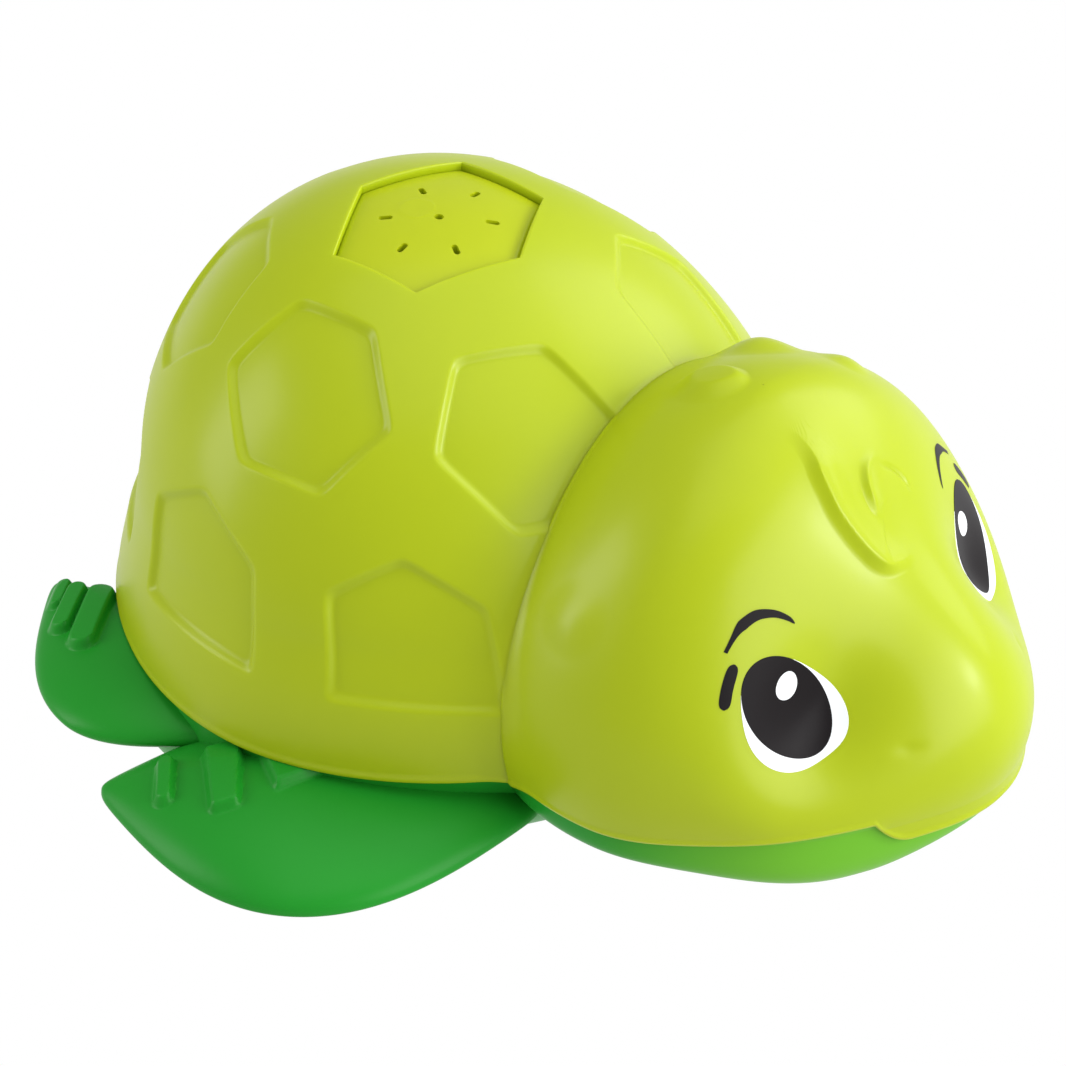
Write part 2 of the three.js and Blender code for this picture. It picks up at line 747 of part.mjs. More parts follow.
function roseOutline(grow) {
  const shape = new THREE.Shape();
  shape.moveTo(0, -ROSE_HALF_LENGTH - grow);
  shape.lineTo(ROSE_HALF_WIDTH + grow, -ROSE_SHOULDER - grow / 2);
  shape.lineTo(ROSE_HALF_WIDTH + grow, ROSE_SHOULDER + grow / 2);
  shape.lineTo(0, ROSE_HALF_LENGTH + grow);
  shape.lineTo(-ROSE_HALF_WIDTH - grow, ROSE_SHOULDER + grow / 2);
  shape.lineTo(-ROSE_HALF_WIDTH - grow, -ROSE_SHOULDER - grow / 2);
  return shape;
}

function jetSlot(x, y) {
  const turn = Math.atan2(y, x) * 180 / Math.PI;
  const shape = roundedRectangle(JET_LENGTH, JET_WIDTH, JET_WIDTH / 2 - 0.01, 0, 0);
  return prism(shape, -ROSE_PLATE - 1, ROSE_SINK, 2).rotate([0, 0, turn]).translate([x, y, 0]);
}

function sprayRose() {
  let plate = onRose(prism(roseOutline(-CLEAR), -ROSE_SKIRT, ROSE_SINK)).intersect(carapace(ROSE_STEP));
  const flange = prism(roseOutline(ROSE_FLANGE), -ROSE_SKIRT, -ROSE_FLANGE_DROP);
  const inside = carapace(WALL + CLEAR);
  plate = plate.add(onRose(flange).intersect(inside));
  let cuts = cylinder(ROSE_CHAMBER_RADIUS, -ROSE_SKIRT - 1, -ROSE_PLATE);
  cuts = cuts.add(cylinder(JET_HOLE_RADIUS, -ROSE_PLATE - 1, ROSE_SINK, 0, 0, 10));
  for (const side of [1, -1]) {
    cuts = cuts.add(jetSlot(side * JET_SIDE_X, 0));
    cuts = cuts.add(jetSlot(side * JET_DIAGONAL_X, JET_DIAGONAL_Y));
    cuts = cuts.add(jetSlot(side * JET_DIAGONAL_X, -JET_DIAGONAL_Y));
  }
  return plate.subtract(onRose(cuts));
}

// Flippers

function leaf(rootX, rootY, tipX, tipY, outer, inner, peak, drop, droop, thickness, crown, tipFall) {
  const root = new THREE.Vector2(rootX, rootY);
  const chord = new THREE.Vector2(tipX, tipY).sub(root);
  const half = chord.length() / 2;
  const along = chord.clone().normalize();
  const out = new THREE.Vector2(-along.y, along.x);
  return pillow(14, 6, (s, u, side) => {
    const t = (s - peak) / (s < peak ? 1 + peak : 1 - peak);
    const width = Math.max(0, 1 - t * t);
    const reach = (u > 0 ? outer : inner) * u * width;
    const edge = Math.max(0, 1 - u * u) ** 0.5 * width ** 0.6;
    const centre = root.clone().addScaledVector(along, half * (1 + s)).addScaledVector(out, reach);
    const sink = drop + droop * Math.max(0, u) * width + tipFall * smooth(t);
    const rise = (side > 0 ? thickness + crown : -thickness) * edge;
    const z = RIM_Z - sink + rise;
    return new THREE.Vector3(centre.x, centre.y, z);
  });
}

function scale(x, y, drop, length, width, turn) {
  return mapped(8, 5, (d) => {
    const a = rad(turn);
    const u = d.x * length;
    const v = d.y * width;
    const px = x + u * Math.cos(a) - v * Math.sin(a);
    const py = y + u * Math.sin(a) + v * Math.cos(a);
    return new THREE.Vector3(px, py, RIM_Z - drop + d.z * SCALE_HEIGHT);
  });
}

function rearScale(x, y, drop) {
  return scale(x, y, drop, SCALE_REAR_LENGTH, SCALE_REAR_WIDTH, SCALE_REAR_TURN);
}

function flippers() {
  const front = leaf(
    FRONT_ROOT_X, FRONT_ROOT_Y, FRONT_TIP_X, FRONT_TIP_Y, FRONT_OUTER_WIDTH, FRONT_INNER_WIDTH,
    FRONT_PEAK, FRONT_DROP, FRONT_DROOP, FRONT_THICKNESS, FRONT_CROWN, FRONT_TIP_FALL,
  );
  const rear = leaf(
    REAR_ROOT_X, REAR_ROOT_Y, REAR_TIP_X, REAR_TIP_Y, REAR_OUTER_WIDTH, REAR_INNER_WIDTH,
    REAR_PEAK, REAR_DROP, REAR_DROOP, REAR_THICKNESS, REAR_CROWN, REAR_TIP_FALL,
  );
  const right = front.add(rear)
    .add(scale(SCALE_TIP_X, SCALE_TIP_Y, SCALE_TIP_DROP, SCALE_TIP_LENGTH, SCALE_TIP_WIDTH, SCALE_TIP_TURN))
    .add(scale(SCALE_MID_X, SCALE_MID_Y, SCALE_MID_DROP, SCALE_MID_LENGTH, SCALE_MID_WIDTH, SCALE_MID_TURN))
    .add(rearScale(SCALE_BACK_X, SCALE_BACK_Y, SCALE_BACK_DROP))
    .add(rearScale(SCALE_FORE_X, SCALE_FORE_Y, SCALE_FORE_DROP));
  return right.add(mirrored(right));
}

// Screws, each with a cross recess in its head; the shank points up from the head
function screw(length, x, y, z, up) {
  const head = cylinder(SCREW_HEAD_RADIUS, 0, SCREW_HEAD_HEIGHT, 0, 0, SMALL_STEPS);
  const shank = cylinder(SCREW_RADIUS, SCREW_HEAD_HEIGHT - 0.1, SCREW_HEAD_HEIGHT + length, 0, 0, 10);
  const reach = SCREW_HEAD_RADIUS * 0.65;
  const half = SCREW_SLOT_WIDTH / 2;
  const cross = block(-reach, reach, -half, half, -1, SCREW_SLOT_DEPTH)
    .add(block(-half, half, -reach, reach, -1, SCREW_SLOT_DEPTH));
  const body = head.add(shank).subtract(cross);
  return (up ? body : body.rotate([180, 0, 0])).translate([x, y, z]);
}

// Upper shell: carapace and head in one hollow moulding

const FLOOR_Z = WALL;
const roseHole = onRose(prism(roseOutline(0), -20, 20));
let carapaceOuter = carapace(0);
for (const cut of panels()) carapaceOuter = carapaceOuter.subtract(cut);
const headOuter = headBody(0);
const cavity = carapace(WALL).add(headBody(WALL));
const housingSpots = [
  [HOUSING_FRONT_X, HOUSING_FRONT_Y],
  [-HOUSING_FRONT_X, HOUSING_FRONT_Y],
  [HOUSING_REAR_X, HOUSING_REAR_Y],
  [-HOUSING_REAR_X, HOUSING_REAR_Y],
];
const postRadius = SCREW_RADIUS + CLEAR + BOSS_WALL;
let upperShell = carapaceOuter.add(headOuter).subtract(cavity);
for (const [x, y] of housingSpots) {
  const post = cylinder(postRadius, RIM_Z, RIM_Z + 70, x, y, SMALL_STEPS);
  upperShell = upperShell.add(post.intersect(carapaceOuter));
}
for (const [x, y] of housingSpots) {
  const bore = cylinder(SCREW_RADIUS + CLEAR, RIM_Z - 1, RIM_Z + POST_REACH, x, y, 10);
  upperShell = upperShell.subtract(bore);
}
upperShell = upperShell.subtract(belowParting(0)).subtract(roseHole);

// Lower hull: belly, chin and flippers in one moulding

const hullOuter = belly(0).add(headBody(CHIN_STEP));
const hullCavity = belly(WALL).add(headBody(WALL + CHIN_STEP));
const bossRadius = SCREW_HEAD_RADIUS + CLEAR + BOSS_WALL;
const belowRim = belowParting(CLEAR);
const shellSpace = carapace(-CLEAR).add(headBody(-CLEAR)).subtract(belowRim);
const aboveFloor = block(-200, 200, -200, 200, 0, 200);
const insideFloor = block(-200, 200, -200, 200, FLOOR_Z, 200);
const hullSolid = hullOuter.intersect(aboveFloor);
const pumpFloor = FLOOR_Z + CLEAR;
const pumpTop = pumpFloor + PUMP_HEIGHT;
const coverZ = pumpTop + CLEAR;
const earPostTop = coverZ - CLEAR;
let hullAdded = cylinder(SLEEVE_RADIUS + SLEEVE_WALL, 0.5, SLEEVE_TOP, BUTTON_X, BUTTON_Y);
for (const [x, y] of housingSpots) {
  hullAdded = hullAdded.add(cylinder(bossRadius, 0, RIM_Z, x, y, SMALL_STEPS));
}
for (const side of [1, -1]) {
  hullAdded = hullAdded.add(cylinder(EAR_RADIUS, 0.5, earPostTop, side * EAR_X, PUMP_Y, SMALL_STEPS));
}
const bayX = BAY_LENGTH / 2;
const doorLength = BAY_LENGTH + 2 * DOOR_LEDGE;
const doorWidth = BAY_WIDTH + 2 * DOOR_LEDGE;
const tabY = BATTERY_Y + doorWidth / 2 + DOOR_TAB_REACH - DOOR_TAB_RADIUS;
const tabPostRadius = SCREW_RADIUS + CLEAR + BOSS_WALL;
function doorOutline(grow, z0, z1) {
  const plate = roundedRectangle(doorLength + 2 * grow, doorWidth + 2 * grow, DOOR_CORNER, 0, BATTERY_Y);
  const tab = cylinder(DOOR_TAB_RADIUS + grow, z0, z1, 0, tabY, ROUND_STEPS);
  const r = DOOR_TAB_RADIUS + grow;
  return prism(plate, z0, z1).add(tab).add(block(-r, r, BATTERY_Y, tabY, z0, z1));
}
let lowerHull = hullSolid.subtract(hullCavity.intersect(insideFloor));
lowerHull = lowerHull.add(hullAdded.intersect(hullSolid));
const tabPocket = DOOR_SCREW_SINK + SCREW_HEAD_HEIGHT + DOOR_SCREW_LENGTH + 1;
const tabPost = cylinder(DOOR_TAB_RADIUS + BOSS_WALL, 0.5, tabPocket + 1.2, 0, tabY);
const boxFootprint = block(-60, 60, BATTERY_Y - 60, tabY - DOOR_TAB_RADIUS + BOSS_WALL, 0, 60);
lowerHull = lowerHull.add(tabPost.subtract(boxFootprint).intersect(hullSolid));
for (const [x, y] of housingSpots) {
  lowerHull = lowerHull.subtract(cylinder(SCREW_HEAD_RADIUS + CLEAR, -1, BOSS_SHELF_Z, x, y, SMALL_STEPS));
  lowerHull = lowerHull.subtract(cylinder(SCREW_RADIUS + CLEAR, -1, RIM_Z + 1, x, y, 10));
}
for (const side of [1, -1]) {
  const bore = cylinder(SCREW_RADIUS + CLEAR, FLOOR_Z + 1, RIM_Z, side * EAR_X, PUMP_Y, 10);
  lowerHull = lowerHull.subtract(bore);
}
const doorSlack = 2 * CLEAR;
const doorPlate = roundedRectangle(
  doorLength + doorSlack, doorWidth + doorSlack, DOOR_CORNER, 0, BATTERY_Y,
);
lowerHull = lowerHull
  .subtract(cylinder(GRILLE_RADIUS + CLEAR, -1, FLOOR_Z + 1, 0, PUMP_Y))
  .subtract(cylinder(BUTTON_RADIUS + CLEAR + 0.1, -1, FLOOR_Z + 1, BUTTON_X, BUTTON_Y))
  .subtract(cylinder(SLEEVE_RADIUS, FLOOR_Z, RIM_Z, BUTTON_X, BUTTON_Y))
  .subtract(doorOutline(CLEAR, -1, DOOR_THICKNESS + CLEAR))
  .subtract(cylinder(DOOR_TAB_RADIUS + CLEAR, -1, DOOR_TAB_THICKNESS + CLEAR, 0, tabY))
  .subtract(prism(doorPlate, -1, FLOOR_Z + 1))
  .subtract(cylinder(SCREW_RADIUS + CLEAR, -1, tabPocket, 0, tabY, 10))
  .intersect(belowRim)
  .add(flippers().subtract(hullCavity).subtract(shellSpace));

// Spray chamber, gasket and riser hose

const chamberTop = -ROSE_PLATE - CLEAR - GASKET_HEIGHT - CLEAR;
const chamberRadius = ROSE_CHAMBER_RADIUS - CLEAR;
const chamberFloor = chamberTop - CHAMBER_DEPTH;
const spigotRadius = PIPE_BORE + PIPE_WALL;
const spigotEnd = chamberFloor - SPIGOT_LENGTH;
const sprayChamber = onRose(
  cylinder(chamberRadius, chamberFloor, chamberTop)
    .subtract(cylinder(chamberRadius - CHAMBER_WALL, chamberFloor + CHAMBER_WALL, chamberTop + 1))
    .add(cylinder(spigotRadius, spigotEnd, chamberFloor + 0.5, 0, 0, SMALL_STEPS))
    .subtract(cylinder(PIPE_BORE, spigotEnd - 1, chamberFloor + CHAMBER_WALL + 1, 0, 0, SMALL_STEPS)),
);
const roseGasket = onRose(
  ring(chamberRadius, chamberRadius - GASKET_WIDTH, chamberTop + CLEAR, chamberTop + CLEAR + GASKET_HEIGHT),
);

const outletZ = pumpFloor + PUMP_OUTLET_RISE;
const outletAlong = new THREE.Vector3(Math.cos(rad(PUMP_OUTLET_YAW)), Math.sin(rad(PUMP_OUTLET_YAW)), 0);
function onOutlet(distance) {
  return new THREE.Vector3(0, PUMP_Y, outletZ).addScaledVector(outletAlong, distance);
}
const roseAxis = new THREE.Vector3(0, -Math.sin(rad(ROSE_TILT)), Math.cos(rad(ROSE_TILT)));
function onRoseAxis(height) {
  return new THREE.Vector3(0, ROSE_Y, RIM_Z + ROSE_Z).addScaledVector(roseAxis, height);
}
const hoseGrip = SPIGOT_LENGTH - 1.5;
const hoseTop = chamberFloor - 1.5;
const hosePath = new THREE.CatmullRomCurve3([
  onOutlet(PUMP_OUTLET_REACH - 5),
  onOutlet(PUMP_OUTLET_REACH - 2),
  onOutlet(PUMP_OUTLET_REACH + 1),
  new THREE.Vector3(HOSE_RISE_X, HOSE_RISE_Y, HOSE_LOW_Z),
  new THREE.Vector3(HOSE_RISE_X, HOSE_RISE_Y + 4, HOSE_HIGH_Z),
  onRoseAxis(hoseTop - hoseGrip - 10),
  onRoseAxis(hoseTop - hoseGrip),
  onRoseAxis(hoseTop),
]);
const riserHose = sweep(hosePath, HOSE_BORE + HOSE_WALL, 18, 7)
  .subtract(sweep(hosePath, HOSE_BORE, 18, 7));

// Pump and motor

function alongOutlet(radius, from, to, sides) {
  const geometry = new THREE.CylinderGeometry(radius, radius, to - from, sides);
  geometry.rotateZ(-Math.PI / 2);
  geometry.translate((from + to) / 2, 0, 0);
  geometry.rotateZ(rad(PUMP_OUTLET_YAW));
  geometry.translate(0, PUMP_Y, outletZ);
  return solid(geometry);
}
const pumpHousing = cylinder(PUMP_RADIUS, pumpFloor, pumpTop, 0, PUMP_Y)
  .add(alongOutlet(spigotRadius, PUMP_RADIUS - 3, PUMP_OUTLET_REACH, SMALL_STEPS))
  .subtract(cylinder(PUMP_RADIUS - PUMP_WALL, pumpFloor + PUMP_WALL, pumpTop + 1, 0, PUMP_Y))
  .subtract(alongOutlet(PIPE_BORE, PUMP_RADIUS - 5, PUMP_OUTLET_REACH + 1, SMALL_STEPS))
  .subtract(cylinder(PUMP_INLET_RADIUS, pumpFloor - 1, pumpFloor + PUMP_WALL + 1, 0, PUMP_Y));
const impellerZ = pumpFloor + PUMP_WALL + 1;
const impellerTop = impellerZ + IMPELLER_DISC + IMPELLER_BLADE_HEIGHT;
let impeller = cylinder(IMPELLER_RADIUS, impellerZ, impellerZ + IMPELLER_DISC)
  .add(cylinder(IMPELLER_HUB, impellerZ, impellerTop, 0, 0, SMALL_STEPS));
for (let k = 0; k < IMPELLER_BLADES; k += 1) {
  const half = IMPELLER_BLADE_WIDTH / 2;
  const blade = block(IMPELLER_HUB - 0.6, IMPELLER_RADIUS - 0.3, -half, half, impellerZ + 0.2, impellerTop);
  impeller = impeller.add(blade.rotate([0, 0, 360 * k / IMPELLER_BLADES]));
}
const shaftBottom = impellerZ + IMPELLER_DISC;
impeller = impeller
  .subtract(cylinder(SHAFT_RADIUS + CLEAR, shaftBottom - CLEAR, RIM_Z, 0, 0, 10))
  .translate([0, PUMP_Y, 0]);
const coverTop = coverZ + COVER_THICKNESS;
const cradleZ = coverTop + CLEAR;
const motorZ = cradleZ + CRADLE_FOOT + CLEAR;
const shaftTop = motorZ + MOTOR_BOSS_HEIGHT + 3;
const motorShaft = cylinder(SHAFT_RADIUS, shaftBottom, shaftTop, 0, PUMP_Y, 10);
function eared(radius, z0, z1) {
  let body = cylinder(radius, z0, z1, 0, PUMP_Y)
    .add(block(-EAR_X, EAR_X, PUMP_Y - EAR_RADIUS, PUMP_Y + EAR_RADIUS, z0, z1));
  for (const side of [1, -1]) {
    body = body.add(cylinder(EAR_RADIUS, z0, z1, side * EAR_X, PUMP_Y, SMALL_STEPS));
  }
  for (const side of [1, -1]) {
    body = body.subtract(cylinder(SCREW_RADIUS + CLEAR, z0 - 1, z1 + 1, side * EAR_X, PUMP_Y, 10));
  }
  return body;
}
const pumpCover = eared(PUMP_RADIUS, coverZ, coverTop)
  .subtract(cylinder(SEAL_RADIUS + CLEAR, coverZ - 1, coverTop + 1, 0, PUMP_Y, SMALL_STEPS));
const shaftSeal = ring(SEAL_RADIUS, SHAFT_RADIUS + CLEAR, coverZ, coverTop, 0, PUMP_Y, SMALL_STEPS);
const motorCradle = eared(MOTOR_RADIUS + CLEAR + CRADLE_WALL, cradleZ, cradleZ + CRADLE_FOOT)
  .add(cylinder(MOTOR_RADIUS + CLEAR + CRADLE_WALL, cradleZ, cradleZ + CRADLE_HEIGHT, 0, PUMP_Y))
  .subtract(cylinder(MOTOR_RADIUS + CLEAR, cradleZ + CRADLE_FOOT, cradleZ + CRADLE_HEIGHT + 1, 0, PUMP_Y))
  .subtract(cylinder(MOTOR_BOSS_RADIUS, cradleZ - 1, cradleZ + CRADLE_FOOT + 1, 0, PUMP_Y, SMALL_STEPS));
const motorTop = motorZ + MOTOR_HEIGHT;
const motor = cylinder(MOTOR_RADIUS, motorZ, motorTop, 0, PUMP_Y)
  .add(cylinder(MOTOR_BOSS_RADIUS, motorTop - 1, motorTop + MOTOR_BOSS_HEIGHT, 0, PUMP_Y, SMALL_STEPS))
  .subtract(cylinder(SHAFT_RADIUS + CLEAR, motorZ - 1, shaftTop + CLEAR, 0, PUMP_Y, 10));
let grille = cylinder(GRILLE_RADIUS, 0, GRILLE_THICKNESS, 0, PUMP_Y);
for (let k = 0; k < GRILLE_SLOTS; k += 1) {
  const y = PUMP_Y + (k - (GRILLE_SLOTS - 1) / 2) * GRILLE_PITCH;
  const half = Math.sqrt((GRILLE_RADIUS - 1.4) ** 2 - (Math.abs(y - PUMP_Y) + GRILLE_SLOT / 2) ** 2);
  const slot = block(-half, half, y - GRILLE_SLOT / 2, y + GRILLE_SLOT / 2, -1, GRILLE_THICKNESS + 1);
  grille = grille.subtract(slot);
}

// Battery compartment

const boxBottom = FLOOR_Z + CLEAR;
function aroundBay(grow, z0, z1) {
  const length = BAY_LENGTH + 2 * grow;
  const width = BAY_WIDTH + 2 * grow;
  return prism(roundedRectangle(length, width, BAY_CORNER + grow, 0, BATTERY_Y), z0, z1);
}
const batteryBox = aroundBay(BOX_WALL, boxBottom, BAY_TOP + BOX_WALL)
  .add(aroundBay(BOX_FLANGE, boxBottom, boxBottom + BOX_FLANGE_HEIGHT))
  .subtract(cylinder(DOOR_TAB_RADIUS + BOSS_WALL + CLEAR, -1, RIM_Z, 0, tabY))
  .subtract(aroundBay(0, -1, BAY_TOP));
const doorScrewSeat = DOOR_SCREW_SINK + SCREW_HEAD_HEIGHT + CLEAR;
const batteryDoor = doorOutline(0, 0, DOOR_THICKNESS)
  .add(cylinder(DOOR_TAB_RADIUS, 0, DOOR_TAB_THICKNESS, 0, tabY))
  .subtract(cylinder(SCREW_HEAD_RADIUS + CLEAR, -1, doorScrewSeat, 0, tabY, SMALL_STEPS))
  .subtract(cylinder(SCREW_RADIUS + CLEAR, -1, DOOR_TAB_THICKNESS + 1, 0, tabY, 10));
const gasketZ = DOOR_THICKNESS + (boxBottom - DOOR_THICKNESS - DOOR_GASKET) / 2;
const doorGasket = prism(
  roundedRectangle(doorLength - CLEAR, doorWidth - CLEAR, DOOR_CORNER - CLEAR, 0, BATTERY_Y),
  gasketZ, gasketZ + DOOR_GASKET,
).subtract(aroundBay(CLEAR / 2, -1, RIM_Z));
const cellZ = boxBottom + CLEAR + CELL_RADIUS;
const plateGap = CONTACT_THICKNESS + 2 * CLEAR;
function acrossX(radius, x0, x1, y, z, steps) {
  const geometry = new THREE.CylinderGeometry(radius, radius, x1 - x0, steps);
  geometry.rotateZ(Math.PI / 2);
  geometry.translate((x0 + x1) / 2, y, z);
  return solid(geometry);
}
function cell(row) {
  const facing = row === 0 ? -1 : 1;
  const y = BATTERY_Y + row * CELL_PITCH;
  const nubEnd = bayX - plateGap;
  const start = nubEnd - CELL_LENGTH;
  const body = acrossX(CELL_RADIUS, start, nubEnd - CELL_NUB_LENGTH, y, cellZ, 20)
    .add(acrossX(CELL_NUB_RADIUS, nubEnd - CELL_NUB_LENGTH - 0.2, nubEnd, y, cellZ, 10));
  return facing > 0 ? body : mirrored(body);
}
function contactPlate(side, from, to) {
  const x0 = bayX - CLEAR - CONTACT_THICKNESS;
  const y0 = BATTERY_Y + from * CELL_PITCH - CONTACT_WIDTH / 2;
  const y1 = BATTERY_Y + to * CELL_PITCH + CONTACT_WIDTH / 2;
  const half = CONTACT_HEIGHT / 2;
  const body = block(x0, x0 + CONTACT_THICKNESS, y0, y1, cellZ - half, cellZ + half);
  return side > 0 ? body : mirrored(body);
}
class Coil extends THREE.Curve {
  constructor(x0, x1, y) {
    super();
    this.x0 = x0;
    this.x1 = x1;
    this.y = y;
  }

  getPoint(t, target = new THREE.Vector3()) {
    const a = t * SPRING_TURNS * 2 * Math.PI;
    const y = this.y + SPRING_RADIUS * Math.cos(a);
    return target.set(this.x0 + (this.x1 - this.x0) * t, y, cellZ + SPRING_RADIUS * Math.sin(a));
  }
}
function contactSpring(row) {
  const plateFace = bayX - plateGap;
  const cellEnd = CELL_LENGTH - bayX + plateGap;
  const y = BATTERY_Y + row * CELL_PITCH;
  const grow = SPRING_WIRE + CLEAR;
  const body = sweep(new Coil(cellEnd + grow, plateFace - grow, y), SPRING_WIRE, SPRING_TURNS * 9, 4);
  return row === 0 ? body : mirrored(body);
}

// Power button, board and switch

const buttonFlangeZ = FLOOR_Z + CLEAR;
const powerButton = cylinder(BUTTON_RADIUS, BUTTON_INSET, BUTTON_TOP, BUTTON_X, BUTTON_Y)
  .add(cylinder(BUTTON_FLANGE, buttonFlangeZ, buttonFlangeZ + BUTTON_FLANGE_HEIGHT, BUTTON_X, BUTTON_Y));
const boardZ = SLEEVE_TOP + CLEAR;
const switchBoard = block(
  BUTTON_X - BOARD_LENGTH / 2, BUTTON_X + BOARD_LENGTH / 2,
  BUTTON_Y - BOARD_WIDTH / 2, BUTTON_Y + BOARD_WIDTH / 2, boardZ, boardZ + BOARD_THICKNESS,
);
const switchTop = boardZ - CLEAR;
const switchHalf = SWITCH_SIZE / 2;
const switchBottom = switchTop - SWITCH_HEIGHT;
const tactSwitch = block(
  BUTTON_X - switchHalf, BUTTON_X + switchHalf, BUTTON_Y - switchHalf, BUTTON_Y + switchHalf,
  switchBottom, switchTop,
).add(cylinder(
  SWITCH_PLUNGER_RADIUS, switchBottom - SWITCH_PLUNGER, switchBottom + 0.5, BUTTON_X, BUTTON_Y, SMALL_STEPS,
));

// Assembly

const group = new THREE.Group();
group.name = 'turtle_bath_toy';

function place(name, body, colour, roughness, metalness = 0) {
  const mesh = body.simplify(MESH_TOLERANCE).getMesh();
  const geometry = new THREE.BufferGeometry();
  geometry.setAttribute('position', new THREE.Float32BufferAttribute(mesh.vertProperties, 3));
  geometry.setIndex(new THREE.Uint32BufferAttribute(mesh.triVerts, 1));
  geometry.computeVertexNormals();
  const material = new THREE.MeshStandardMaterial({ color: colour, roughness, metalness });
  const node = new THREE.Mesh(geometry, material);
  node.name = name;
  group.add(node);
}

place('upper_shell', upperShell, LIME, 0.35);
place('lower_hull', lowerHull, GREEN, 0.4);
place('spray_rose', sprayRose(), LIME, 0.35);
place('spray_chamber', sprayChamber, PALE, 0.5);
place('rose_gasket', roseGasket, RUBBER, 0.8);
place('riser_hose', riserHose, PALE, 0.4);
place('pump_housing', pumpHousing, PALE, 0.5);
place('pump_cover', pumpCover, PALE, 0.5);
place('impeller', impeller, PALE, 0.5);
place('motor_shaft', motorShaft, METAL, 0.3, 1);
place('shaft_seal', shaftSeal, RUBBER, 0.8);
place('motor', motor, METAL, 0.35, 1);
place('motor_cradle', motorCradle, DARK, 0.5);
place('inlet_grille', grille, GREEN, 0.45);
place('battery_box', batteryBox, DARK, 0.5);
place('battery_door', batteryDoor, GREEN, 0.45);
place('door_gasket', doorGasket, RUBBER, 0.8);
place('door_screw', screw(DOOR_SCREW_LENGTH, 0, tabY, DOOR_SCREW_SINK, true), METAL, 0.3, 1);
for (const row of [-1, 0, 1]) {
  place(`cell_${row + 2}`, cell(row), CELL_COLOUR, 0.35);
  place(`contact_spring_${row + 2}`, contactSpring(row), METAL, 0.3, 1);
}
place('contact_plate_1', contactPlate(1, -1, -1), METAL, 0.3, 1);
place('contact_plate_2', contactPlate(-1, -1, 0), METAL, 0.3, 1);
place('contact_plate_3', contactPlate(1, 0, 1), METAL, 0.3, 1);
place('contact_plate_4', contactPlate(-1, 1, 1), METAL, 0.3, 1);
place('switch_board', switchBoard, BOARD_GREEN, 0.5);
place('tact_switch', tactSwitch, DARK, 0.5);
place('power_button', powerButton, DARK, 0.7);
const pumpScrewZ = cradleZ + CRADLE_FOOT + CLEAR + SCREW_HEAD_HEIGHT;
place('pump_screw_1', screw(PUMP_SCREW_LENGTH, EAR_X, PUMP_Y, pumpScrewZ, false), METAL, 0.3, 1);
place('pump_screw_2', screw(PUMP_SCREW_LENGTH, -EAR_X, PUMP_Y, pumpScrewZ, false), METAL, 0.3, 1);
housingSpots.forEach(([x, y], k) => {
  const z = BOSS_SHELF_Z - CLEAR - SCREW_HEAD_HEIGHT;
  place(`housing_screw_${k + 1}`, screw(HOUSING_SCREW_LENGTH, x, y, z, true), METAL, 0.3, 1);
});

export default group;
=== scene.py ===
import math
import bpy
import numpy as np
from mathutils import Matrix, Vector


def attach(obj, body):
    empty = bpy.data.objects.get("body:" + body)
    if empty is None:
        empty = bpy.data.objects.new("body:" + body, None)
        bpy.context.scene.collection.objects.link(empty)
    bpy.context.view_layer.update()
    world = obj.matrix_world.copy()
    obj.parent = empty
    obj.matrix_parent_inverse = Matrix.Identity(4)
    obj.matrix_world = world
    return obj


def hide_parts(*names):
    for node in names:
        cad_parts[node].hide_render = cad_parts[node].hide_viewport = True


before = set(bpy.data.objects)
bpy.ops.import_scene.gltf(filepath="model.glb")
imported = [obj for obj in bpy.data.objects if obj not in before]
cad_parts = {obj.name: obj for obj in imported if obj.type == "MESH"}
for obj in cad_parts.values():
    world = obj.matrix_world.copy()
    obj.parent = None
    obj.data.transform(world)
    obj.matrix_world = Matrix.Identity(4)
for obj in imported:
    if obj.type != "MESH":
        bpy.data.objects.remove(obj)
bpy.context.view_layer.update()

# Sizes are in millimetres, measured from the rim plane unless a comment says otherwise.
MM = 0.001
RIM_Z = 26.0
CLEAR = 0.3
WALL = 2.4

# Shell
DOME_HALF = (61.9, 57.4)
DOME_HEIGHT = 68.3
DOME_POWER = 2.09
DOME_LEAN = 0.22
DOME_SHIFT_Y = -4.1
RIM_HALF = (64.6, 60.0)
RIM_POWER = 1.9
FLARE_HEIGHT = 22.0
# For rough distances from the shell: the share of its height they end at, and how they slant with height
DOME_TOP_SHARE = 0.999
DOME_SLANT = 0.75

# Panels of the shell: angles in degrees seen from the pattern's centre
PANEL_DEPTH = 1.0
PANEL_WALL = 1.7
PANEL_CORNER = 0.55
PANEL_WALL_START = 0.25
PATTERN_Y = -6.5
RING_YAWS = ((35.0, 3.0), (90.0, 0.0), (145.0, 0.0))
RING_POLAR = (24.5, 38.3, 49.0)
RING_SPAN = (15.0, 23.0, 9.2)
LOW_YAWS = ((65.6, 13.8), (106.4, 13.8), (144.5, 11.8), (180.0, 11.8))
LOW_POLAR = (55.2, 62.0, 77.4)

# Spray rose pocket
ROSE_Y = 6.4
ROSE_Z = 63.6
ROSE_TILT = 5.0
ROSE_HALF_LENGTH = 16.2
ROSE_HALF_WIDTH = 18.2
ROSE_SHOULDER = 8.4
# The pocket's edge: steps inwards and down; the rise, in radians, at which the search for it starts
POCKET_ROLL = ((0.12, 0.04), (0.25, 0.2), (0.28, 1.0), (0.3, 6.0))
POCKET_RISE = 0.4
